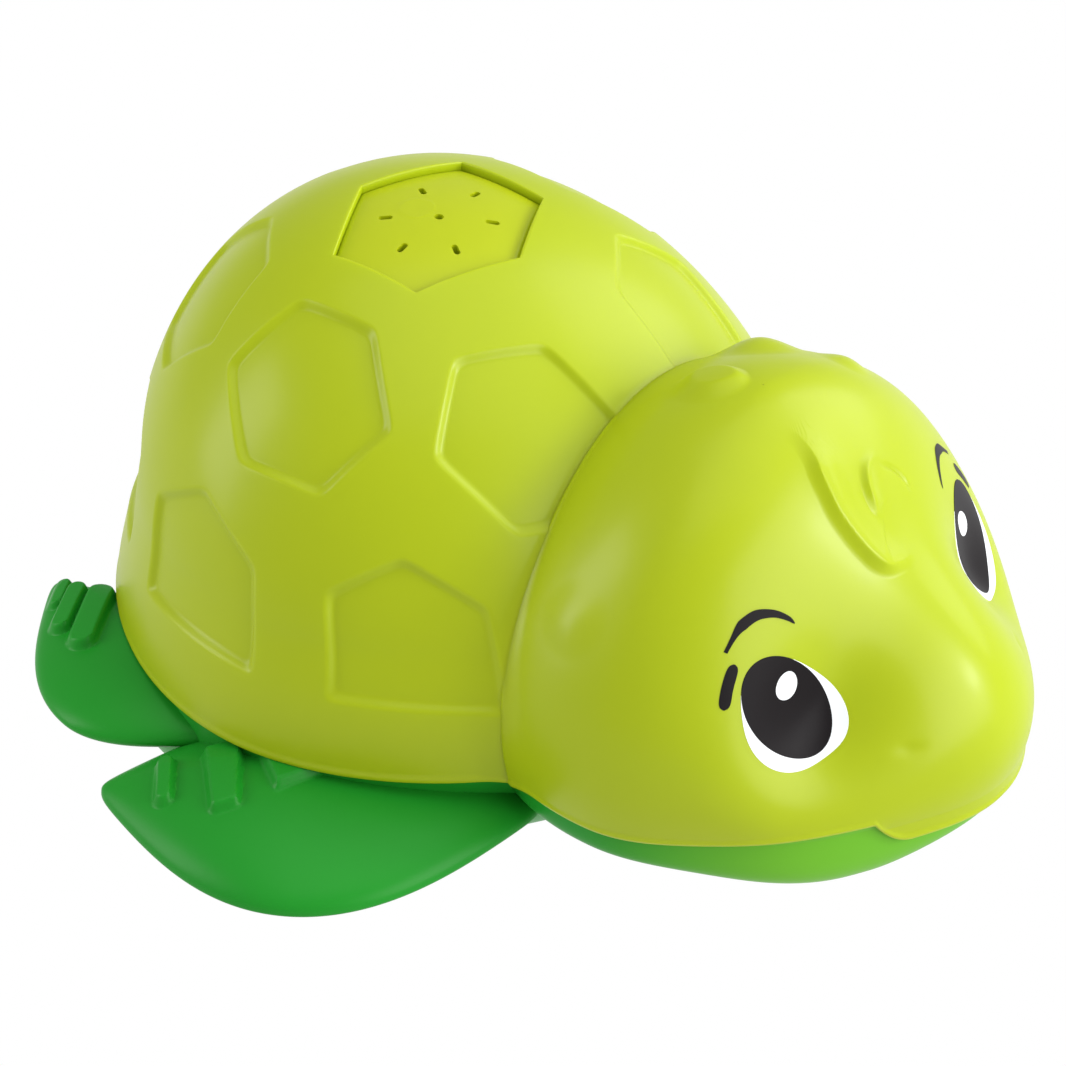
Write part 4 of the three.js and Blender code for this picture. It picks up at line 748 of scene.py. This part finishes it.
def brow_width(t):
    """A blunt start that widens quickly, then a long point."""
    start = np.clip(BROW_START + BROW_GROWTH * smooth(t / BROW_FULL), 0, 1)
    return BROW_WIDTH * start * np.sqrt(np.clip((1 - t) / BROW_POINT, STROKE_TIP, 1))


def dash_width(t):
    """An even stroke with round ends."""
    return DASH_WIDTH * np.sqrt(np.clip(1 - np.abs(2 * t - 1) ** DASH_POWER, STROKE_TIP, 1))


# Lower hull: belly, chin and flippers

BELLY_COLUMNS = 480
BELLY_ROWS = 60
FLAT_ROWS = 14
FLAT_POLE = 0.004
CHIN_GRID = (600, 90)
CHIN_POLE = 0.0005
CHIN_POLE_SHARE = 0.01


def hull_point(yaw, fall, inset):
    x, y = rim_xy(yaw, inset + HULL_STEP)
    narrow = np.cos(fall) ** (2 / HULL_SIDE_POWER)
    shorten = np.cos(fall) ** (2 / HULL_END_POWER)
    depth = np.sin(fall) ** (2 / HULL_SIDE_POWER) * (HULL_DEPTH - inset)
    return np.stack((x * narrow, y * shorten + HULL_SHIFT_Y * depth / RIM_Z, -depth + 0 * x), -1)


def belly_mesh():
    columns = int(BELLY_COLUMNS * FINE)
    yaw = ring(columns)[None]
    skins = []
    for inset, floor in ((0.0, RIM_Z), (WALL, RIM_Z - WALL)):
        top = math.asin((CLEAR / (HULL_DEPTH - inset)) ** (HULL_SIDE_POWER / 2))
        end = math.asin((floor / (HULL_DEPTH - inset)) ** (HULL_SIDE_POWER / 2))
        fall = np.linspace(top, end, BELLY_ROWS)[:, None]
        wall = hull_point(yaw, fall, inset)
        middle = np.array((0.0, HULL_SHIFT_Y, -floor))
        shrink = np.linspace(1, FLAT_POLE, FLAT_ROWS)[1:, None, None]
        flat = middle + (wall[-1] * (1, 1, 0) + (0, 0, -floor) - middle)[None] * shrink
        skins.append(np.concatenate((wall, flat)))
    points = np.concatenate((skins[0][::-1], skins[1]))
    return close_ends(make("belly_skin", points, grid_quads(len(points), columns, True)))


def close_ends(obj):
    """Fills the open end rings of a mesh, so that it is a closed solid."""
    bpy.ops.object.select_all(action="DESELECT")
    obj.select_set(True)
    bpy.context.view_layer.objects.active = obj
    bpy.ops.object.mode_set(mode="EDIT")
    bpy.ops.mesh.select_all(action="SELECT")
    bpy.ops.mesh.fill_holes(sides=0)
    bpy.ops.mesh.normals_make_consistent(inside=False)
    bpy.ops.object.mode_set(mode="OBJECT")
    return obj


def chin_mesh():
    columns = int(CHIN_GRID[0] * FINE)
    yaw = ring(columns)
    edge = parting(yaw) - CLEAR
    strip = np.minimum(edge, 0.0) - EDGE_STRIP
    t = np.linspace(1, 0, CHIN_GRID[1])[:, None]
    start = np.arcsin(np.clip(-strip / (chin_depth(yaw) - CHIN_STEP), 0.0, 1.0) ** (CHIN_POWER / 2))
    fall = start[None] + (np.pi / 2 - CHIN_POLE - start[None]) * t
    lower = chin_point(yaw[None] + 0 * t, fall, CHIN_STEP)
    up = np.linspace(0, 1, STRIP_ROWS)[1:, None]
    height = lower[-1:, :, 2] + (edge - lower[-1, :, 2])[None] * up
    upper = face_point(yaw[None] + 0 * up, height, CHIN_STEP)
    middle = lower[:1].mean(1, keepdims=True)
    pole = middle + (lower[:1] - middle) * CHIN_POLE_SHARE
    points = np.concatenate((pole, lower, upper))
    outward = unit((points[-1] - HEAD_CENTRE) * (1, 1, 0))
    points = np.concatenate((points, edge_rows(points[-1], outward, JAW_ROLL)))
    return make("chin_skin", points, grid_quads(len(points), columns, True))


FRONT_FLIPPER = dict(root=(-41.0, -43.0), tip=(-77.5, 19.5), outer=27.75, inner=19.0, peak=0.05,
                     drop=8.0, droop=2.5, thick=4.2, crown=2.4, tip_fall=1.6)
REAR_FLIPPER = dict(root=(-57.0, 5.0), tip=(-42.0, 57.98), outer=20.5, inner=12.0, peak=-0.15,
                    drop=4.6, droop=1.5, thick=4.0, crown=0.6, tip_fall=0.4)
# Points of a flipper along and across, and how its width and thickness round off
FLIPPER_GRID = (300, 200)
TIP_ROUND = 0.38
EDGE_ROUND = 0.5
THICKNESS_ROUND = 0.6
SCALE_FADE = 2.5
SCALE_EDGE = 1.1
# Raised scales: corners in plan, radius round them, height
FRONT_SCALES = ((((-71.0, 11.0), (-77.2, 6.6)), 2.0, 1.7),
                (((-66.0, 5.6), (-62.7, 2.9), (-73.4, -4.8), (-75.4, -3.0)), 1.6, 1.7),
                (((-60.9, -0.4), (-67.2, -9.2), (-59.5, -13.6)), 0.9, 1.6))
REAR_SCALES = ((((-44.5, 51.2), (-53.2, 47.6)), 2.4, 1.8), (((-43.5, 46.6), (-55.0, 41.4)), 3.0, 1.8),
               (((-43.5, 55.0), (-48.0, 53.0)), 2.0, 1.4))


def outside_corners(q, corners):
    """Distance of plan points outside a segment or a convex outline, negative inside."""
    corners = np.asarray(corners, float)
    nearest = np.full(q.shape[:-1], np.inf)
    turns = []
    for a, b in zip(corners, np.roll(corners, -1, 0)):
        side = b - a
        k = np.clip((q - a) @ side / (side @ side), 0, 1)
        nearest = np.minimum(nearest, np.linalg.norm(q - a - k[..., None] * side, axis=-1))
        turns.append(side[0] * (q[..., 1] - a[1]) - side[1] * (q[..., 0] - a[0]))
    turns = np.stack(turns)
    inside = (turns > 0).all(0) | (turns < 0).all(0)
    return np.where(inside, -nearest, nearest)


def flipper_mesh(name, leaf, scales, mirror):
    """A leaf-shaped flipper with raised scales on its upper face."""
    columns, rows = (int(steps * FINE) for steps in FLIPPER_GRID)
    s, u = np.meshgrid(*(np.sin(np.linspace(-np.pi / 2, np.pi / 2, steps)) for steps in (columns, rows)),
                       indexing="ij")
    root, tip = np.array(leaf["root"]), np.array(leaf["tip"])
    half = np.linalg.norm(tip - root) / 2
    along = (tip - root) / (2 * half)
    out = np.array((-along[1], along[0]))
    peak = leaf["peak"]
    t = (s - peak) / np.where(s < peak, 1 + peak, 1 - peak)
    room = np.clip(1 - t * t, 0, None)
    width = np.sqrt(room ** 2 + TIP_ROUND ** 2 * room * (1 - room) ** 4)
    reach = np.where(u > 0, leaf["outer"], leaf["inner"]) * u * width
    plan = root + along * (half * (1 + s))[..., None] + out * reach[..., None]
    body = np.clip(1 - u * u, 0, None) ** EDGE_ROUND * width ** THICKNESS_ROUND
    middle = -leaf["drop"] - leaf["droop"] * np.clip(u, 0, None) * width - leaf["tip_fall"] * smooth(t)
    raised = np.zeros(s.shape)
    for corners, radius, height in scales:
        inside = radius - outside_corners(plan, corners)
        raised = np.maximum(raised, height * smooth(inside / SCALE_EDGE))
    upper = middle + (leaf["thick"] + leaf["crown"]) * body + raised * np.clip(body * SCALE_FADE, 0, 1)
    lower = middle - leaf["thick"] * body
    faces = [np.concatenate((plan, z[..., None]), -1).reshape(-1, 3) for z in (upper, lower)]
    points = np.concatenate(faces)
    quads = grid_quads(columns, rows, False)
    quads = np.concatenate((quads, quads[:, ::-1] + columns * rows))
    if mirror:
        points = points * (-1.0, 1.0, 1.0)
        quads = quads[:, ::-1]
    return make(name, points, quads)


def cut(obj, cutter):
    """Takes one closed solid out of another."""
    change = obj.modifiers.new("cut", "BOOLEAN")
    change.object = cutter
    change.operation = "DIFFERENCE"
    change.solver = "MANIFOLD"
    bpy.context.view_layer.objects.active = obj
    bpy.ops.object.modifier_apply(modifier=change.name)
    bpy.data.objects.remove(cutter, do_unlink=True)


def slab_cutter(place, halves, corner, top):
    """A closed upright slab with round corners, from under the belly to a height above the belly's flat."""
    turn = (np.arange(CUTTER_STEPS) + 0.5) * 2 * np.pi / CUTTER_STEPS
    x = place[0] + np.sign(np.cos(turn)) * (halves[0] - corner) + corner * np.cos(turn)
    y = place[1] + np.sign(np.sin(turn)) * (halves[1] - corner) + corner * np.sin(turn)
    rows = [np.stack((x, y, np.full(CUTTER_STEPS, z - RIM_Z)), -1) for z in (-CUTTER_UNDER, top)]
    return close_ends(make("cutter", np.stack(rows), grid_quads(2, CUTTER_STEPS, True)))


def disc_cutter(place, radius, top):
    return slab_cutter(place, (radius, radius), radius, top)


# Spray rose: a six-sided plate, crowned like the shell

def dome_top(x, y):
    """Height of the shell over each plan place near its top."""
    return bisect(np.full(x.shape, DOME_HEIGHT / 2), np.full(x.shape, DOME_HEIGHT),
                  lambda z: outside_shell(np.stack((x, y, z), -1)) < 0)


def rose_mesh():
    sides = ((0, -ROSE_HALF_LENGTH), (ROSE_HALF_WIDTH, -ROSE_SHOULDER), (ROSE_HALF_WIDTH, ROSE_SHOULDER),
             (0, ROSE_HALF_LENGTH), (-ROSE_HALF_WIDTH, ROSE_SHOULDER), (-ROSE_HALF_WIDTH, -ROSE_SHOULDER))
    corners = np.array(sides) * (1.0 - ROSE_CLEAR / ROSE_HALF_LENGTH)
    k = np.linspace(0, 1, ROSE_SIDE_STEPS, endpoint=False)[:, None]
    outline = np.concatenate([a + (b - a) * k for a, b in zip(corners, np.roll(corners, -1, 0))])
    tilt = math.radians(ROSE_TILT)
    share = np.append(np.linspace(ROSE_POLE, ROSE_EDGE_SHARE, ROSE_ROWS), ROSE_EDGE_ROWS)[:, None]
    x = outline[None, :, 0] * share
    y = ROSE_Y + outline[None, :, 1] * share * math.cos(tilt)
    edge_fall = ROSE_EDGE_FALL * smooth((share - ROSE_EDGE_SHARE) / (1.0 - ROSE_EDGE_SHARE))
    face = np.stack((x, y, dome_top(x, y) - ROSE_STEP - edge_fall), -1)
    base = ROSE_Z - ROSE_SKIRT + (y - ROSE_Y) * math.tan(tilt)
    under = np.stack((x, y, base), -1)[::-1]
    points = np.concatenate((face, under))
    obj = close_ends(make("spray_rose_visual", points, grid_quads(len(points), len(outline), True)))
    cut(obj, jet_cutter((0.0, 0.0), JET_HOLE_RADIUS, 0.0))
    for place in JETS:
        cut(obj, jet_cutter(place, JET_WIDTH / 2, JET_LENGTH - JET_WIDTH))
    return obj


def jet_cutter(place, radius, straight):
    """An upright prism with round ends, its long way pointing at the middle of the rose."""
    x, y = place
    bpy.ops.mesh.primitive_cylinder_add(vertices=JET_STEPS, radius=radius * MM, depth=JET_DEPTH * MM)
    obj = bpy.context.object
    for vertex in obj.data.vertices:
        vertex.co.x += math.copysign(straight / 2 * MM, vertex.co.x)
    obj.rotation_euler = (0.0, 0.0, math.atan2(y, x))
    obj.location = (x * MM, (ROSE_Y + y) * MM, (RIM_Z + ROSE_Z) * MM)
    bpy.ops.object.transform_apply(location=True, rotation=True, scale=False)
    return obj


# Materials

MOTTLE_SCALE = 28.0
MOTTLE_RANGE = (0.35, 0.75)
MOTTLE_SHARE = 0.22
GRAIN_SCALE = 900.0
GRAIN_DEPTH = 0.0001
GLOSS_RANGE = 0.05
COAT_ROUGH = 0.22
SCATTER_RADIUS = (1.0, 1.0, 0.25)
SCATTER_SCALE = 0.004
METAL_SHINE = 0.5


def add_node(tree, kind, **values):
    """A shader node with its inputs set; an underscore in an input's name stands for a space."""
    node = tree.nodes.new("ShaderNode" + kind)
    for name, value in values.items():
        node.inputs[name.replace("_", " ")].default_value = value
    return node


def mix_colours(tree, a, b):
    node = tree.nodes.new("ShaderNodeMix")
    node.data_type = "RGBA"
    node.inputs["A"].default_value = (*a, 1)
    node.inputs["B"].default_value = (*b, 1)
    return node


def plastic(name, colour, deep, rough, grain, translucent=0.0, coat=0.0, metal=0.0, shine=0.4, bounce_light=None):
    """A moulded finish: mottled colour, uneven gloss, fine grain, and, if given, painted bounce light: a
    lighter tint towards the front.
    """
    material = bpy.data.materials.new(name)
    material.use_nodes = True
    tree = material.node_tree
    shader = tree.nodes["Principled BSDF"]
    shader.inputs["Metallic"].default_value = metal
    shader.inputs["Specular IOR Level"].default_value = METAL_SHINE if metal else shine
    shader.inputs["Coat Weight"].default_value = coat
    shader.inputs["Coat Roughness"].default_value = COAT_ROUGH
    if translucent:
        shader.inputs["Subsurface Weight"].default_value = translucent
        shader.inputs["Subsurface Radius"].default_value = SCATTER_RADIUS
        shader.inputs["Subsurface Scale"].default_value = SCATTER_SCALE
    place = add_node(tree, "TexCoord")
    mottle = add_node(tree, "TexNoise", Scale=MOTTLE_SCALE, Detail=3.0)
    low, high = MOTTLE_RANGE
    spread = add_node(tree, "MapRange", From_Min=low, From_Max=high, To_Max=MOTTLE_SHARE)
    tint = mix_colours(tree, colour, deep)
    fine = add_node(tree, "TexNoise", Scale=GRAIN_SCALE, Detail=2.0)
    gloss = add_node(tree, "MapRange", To_Min=rough - GLOSS_RANGE, To_Max=rough + GLOSS_RANGE)
    bump = add_node(tree, "Bump", Strength=grain, Distance=GRAIN_DEPTH)
    link = tree.links.new
    link(place.outputs["Object"], mottle.inputs["Vector"])
    link(place.outputs["Object"], fine.inputs["Vector"])
    link(mottle.outputs["Fac"], spread.inputs["Value"])
    link(spread.outputs["Result"], tint.inputs["Factor"])
    # Painted bounce light: a lighter colour blended in towards the front of the toy
    if bounce_light:
        bounce_colour, amount, start, end = bounce_light
        apart = add_node(tree, "SeparateXYZ")
        share = add_node(tree, "MapRange", From_Min=start * MM, From_Max=end * MM, To_Max=amount)
        share.interpolation_type = "SMOOTHSTEP"
        bounce_lit = mix_colours(tree, colour, bounce_colour)
        link(place.outputs["Object"], apart.inputs["Vector"])
        link(apart.outputs["Y"], share.inputs["Value"])
        link(share.outputs["Result"], bounce_lit.inputs["Factor"])
        link(tint.outputs["Result"], bounce_lit.inputs["A"])
        tint = bounce_lit
    link(tint.outputs["Result"], shader.inputs["Base Color"])
    link(mottle.outputs["Fac"], gloss.inputs["Value"])
    link(gloss.outputs["Result"], shader.inputs["Roughness"])
    link(fine.outputs["Fac"], bump.inputs["Height"])
    link(bump.outputs["Normal"], shader.inputs["Normal"])
    return material


LIME_FINISH = dict(rough=0.38, grain=0.10, translucent=0.25, shine=0.20, coat=0.16)
lime = plastic("lime_moulding", LIME, LIME_DEEP, **LIME_FINISH)
# The rose's finish carries painted light: a lighter copy of the lime
rose = plastic("rose_moulding_lit", LIME_ROSE_LIT, LIME, **LIME_FINISH)
# The hull's finish carries painted bounce light on the jaw
green = plastic("green_moulding", GREEN, GREEN_DEEP, rough=0.36, grain=0.10, translucent=0.05, shine=0.18,
                bounce_light=(GREEN_JAW_BOUNCE_LIT, JAW_BOUNCE_SHARE, *JAW_BOUNCE_Y))
ink = plastic("eye_ink", INK, INK, rough=0.34, grain=0.05, shine=0.07)
white = plastic("eye_white", EYE_WHITE, EYE_WHITE, rough=0.30, grain=0.05, coat=0.1)
pale = plastic("pale_moulding", PALE, PALE_DEEP, rough=0.45, grain=0.2)
dark = plastic("dark_moulding", DARK, DARK_DEEP, rough=0.45, grain=0.25)
rubber = plastic("soft_rubber", RUBBER, RUBBER_DEEP, rough=0.75, grain=0.35)
steel = plastic("plated_steel", STEEL, STEEL_DEEP, rough=0.28, grain=0.15, metal=1.0)
wrap = plastic("cell_wrap", WRAP, WRAP_DEEP, rough=0.3, grain=0.1)
board = plastic("board_green", BOARD, BOARD_DEEP, rough=0.4, grain=0.2)

NODE_FINISH = {
    "spray_rose": rose, "inlet_grille": green, "battery_door": green,
    "spray_chamber": pale, "riser_hose": pale, "pump_housing": pale, "pump_cover": pale, "impeller": pale,
    "rose_gasket": rubber, "shaft_seal": rubber, "door_gasket": rubber, "power_button": rubber,
    "motor_cradle": dark, "battery_box": dark, "tact_switch": dark, "switch_board": board,
}
for name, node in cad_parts.items():
    finish = NODE_FINISH.get(name, wrap if name.startswith("cell_") else steel)
    node.data.materials.clear()
    node.data.materials.append(finish)

# Upper shell
shell = join("upper_shell_visual", [shell_mesh(), head_mesh()])
shell.data.materials.append(lime)
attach(shell, "toy")
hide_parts("upper_shell")

# Spray rose
spray_rose = rose_mesh()
spray_rose.data.materials.clear()
spray_rose.data.materials.append(rose)
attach(spray_rose, "toy")
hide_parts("spray_rose")

# Lower hull
belly = belly_mesh()
cut(belly, disc_cutter(INLET_AT, INLET_RADIUS, OPENING_TOP))
cut(belly, disc_cutter(BUTTON_AT, BUTTON_RADIUS, OPENING_TOP))
cut(belly, slab_cutter(DOOR_AT, DOOR_HALF, DOOR_CORNER, OPENING_TOP))
tab_half = (TAB_END_Y - DOOR_AT[1]) / 2
cut(belly, slab_cutter((0.0, TAB_END_Y - tab_half), (TAB_RADIUS, tab_half), TAB_RADIUS, TAB_TOP))
for place in SCREWS_AT:
    cut(belly, disc_cutter(place, SCREW_RADIUS, SCREW_TOP))
parts = [belly, chin_mesh()]
for mirror in (False, True):
    parts.append(flipper_mesh("front_flipper", FRONT_FLIPPER, FRONT_SCALES, mirror))
    parts.append(flipper_mesh("rear_flipper", REAR_FLIPPER, REAR_SCALES, mirror))
hull = join("lower_hull_visual", parts)
hull.data.materials.clear()
hull.data.materials.append(green)
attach(hull, "toy")
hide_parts("lower_hull")

# Printed eyes
eye_chart = Chart(EYE_AT)
for mirror, side in ((False, "right"), (True, "left")):
    films = [
        round_film("eye_white_" + side, eye_chart, WHITE_ROUND, FILM_STEP, white, mirror),
        round_film("eye_iris_" + side, eye_chart, IRIS_ROUND, 2 * FILM_STEP, ink, mirror),
        round_film("eye_light_" + side, eye_chart, LIGHT_ROUND, 3 * FILM_STEP, white, mirror),
        stroke_film("eye_brow_" + side, eye_chart, BROW, brow_width, FILM_STEP, ink, mirror),
        stroke_film("eye_dash_" + side, eye_chart, DASH, dash_width, FILM_STEP, ink, mirror),
    ]
    for obj in films:
        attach(obj, "toy")

# Floor, seen as plain white by the camera from above and clear from below
bpy.ops.mesh.primitive_plane_add(size=FLOOR_SIZE, location=(0, 0, -FLOOR_GAP * MM))
floor = bpy.context.object
floor.name = "floor"
paper = bpy.data.materials.new("floor_paper")
paper.use_nodes = True
paper.cycles.emission_sampling = "NONE"
tree = paper.node_tree
path = add_node(tree, "LightPath")
strength = add_node(tree, "MapRange", To_Min=FLOOR_BOUNCE, To_Max=1.0)
glow = add_node(tree, "Emission", Color=WHITE)
face = add_node(tree, "NewGeometry")
clear = add_node(tree, "BsdfTransparent")
one_sided = add_node(tree, "MixShader")
tree.links.new(path.outputs["Is Camera Ray"], strength.inputs["Value"])
tree.links.new(strength.outputs["Result"], glow.inputs["Strength"])
tree.links.new(face.outputs["Backfacing"], one_sided.inputs["Fac"])
tree.links.new(glow.outputs["Emission"], one_sided.inputs[1])
tree.links.new(clear.outputs["BSDF"], one_sided.inputs[2])
tree.links.new(one_sided.outputs["Shader"], tree.nodes["Material Output"].inputs["Surface"])
floor.data.materials.append(paper)

# World: white to the camera, softer for light
world = bpy.data.worlds.new("studio")
bpy.context.scene.world = world
world.use_nodes = True
tree = world.node_tree
sky = tree.nodes["Background"]
sky.inputs["Color"].default_value = WHITE
path = add_node(tree, "LightPath")
strength = add_node(tree, "MapRange", To_Min=SKY_LIGHT, To_Max=1.0)
tree.links.new(path.outputs["Is Camera Ray"], strength.inputs["Value"])
tree.links.new(strength.outputs["Result"], sky.inputs["Strength"])


# Lights, placed in metres

def soft_box(name, place, aim, width, height, watts):
    data = bpy.data.lights.new(name, "AREA")
    data.shape = "RECTANGLE"
    data.size = width
    data.size_y = height
    data.energy = watts
    obj = bpy.data.objects.new(name, data)
    obj.location = place
    obj.rotation_euler = (Vector(aim) - Vector(place)).to_track_quat("-Z", "Y").to_euler()
    bpy.context.scene.collection.objects.link(obj)


soft_box("top_light", (0.1, -0.1, 0.9), (0, 0, 0), 0.9, 0.9, 2.8)
soft_box("front_light", (0.1, -0.95, 0.42), (0, -0.05, 0.04), 0.9, 0.7, 8.0)
soft_box("side_light", (0.9, -0.35, 0.6), (0, -0.02, 0.05), 0.6, 0.8, 4.5)
soft_box("snout_light", (0.42, -0.85, 0.45), (0, -0.09, 0.035), 0.16, 0.16, 2.0)
soft_box("rim_light", (-0.55, 0.75, 0.45), (0, 0, 0.04), 0.35, 0.7, 4.0)

# Camera at the photograph's angle
AIM = Vector((0.0, 0.0, RIM_Z * MM))
CAMERA_AZIMUTH = math.radians(-54.75)
CAMERA_ELEVATION = math.radians(35.44)
CAMERA_DISTANCE = 0.78983
SENSOR_WIDTH = 36.0
FOCAL_LENGTH = 154.84
SHIFT = (0.0584, 0.0251)
back = Vector((math.sin(CAMERA_AZIMUTH) * math.cos(CAMERA_ELEVATION),
               -math.cos(CAMERA_AZIMUTH) * math.cos(CAMERA_ELEVATION), math.sin(CAMERA_ELEVATION)))
camera_data = bpy.data.cameras.new("camera")
camera_data.sensor_width = SENSOR_WIDTH
camera_data.lens = FOCAL_LENGTH
camera_data.shift_x, camera_data.shift_y = SHIFT
camera = bpy.data.objects.new("camera", camera_data)
camera.location = AIM + back * CAMERA_DISTANCE
camera.rotation_euler = (-back).to_track_quat("-Z", "Y").to_euler()
bpy.context.scene.collection.objects.link(camera)
bpy.context.scene.camera = camera
bpy.context.scene.view_settings.view_transform = "Standard"
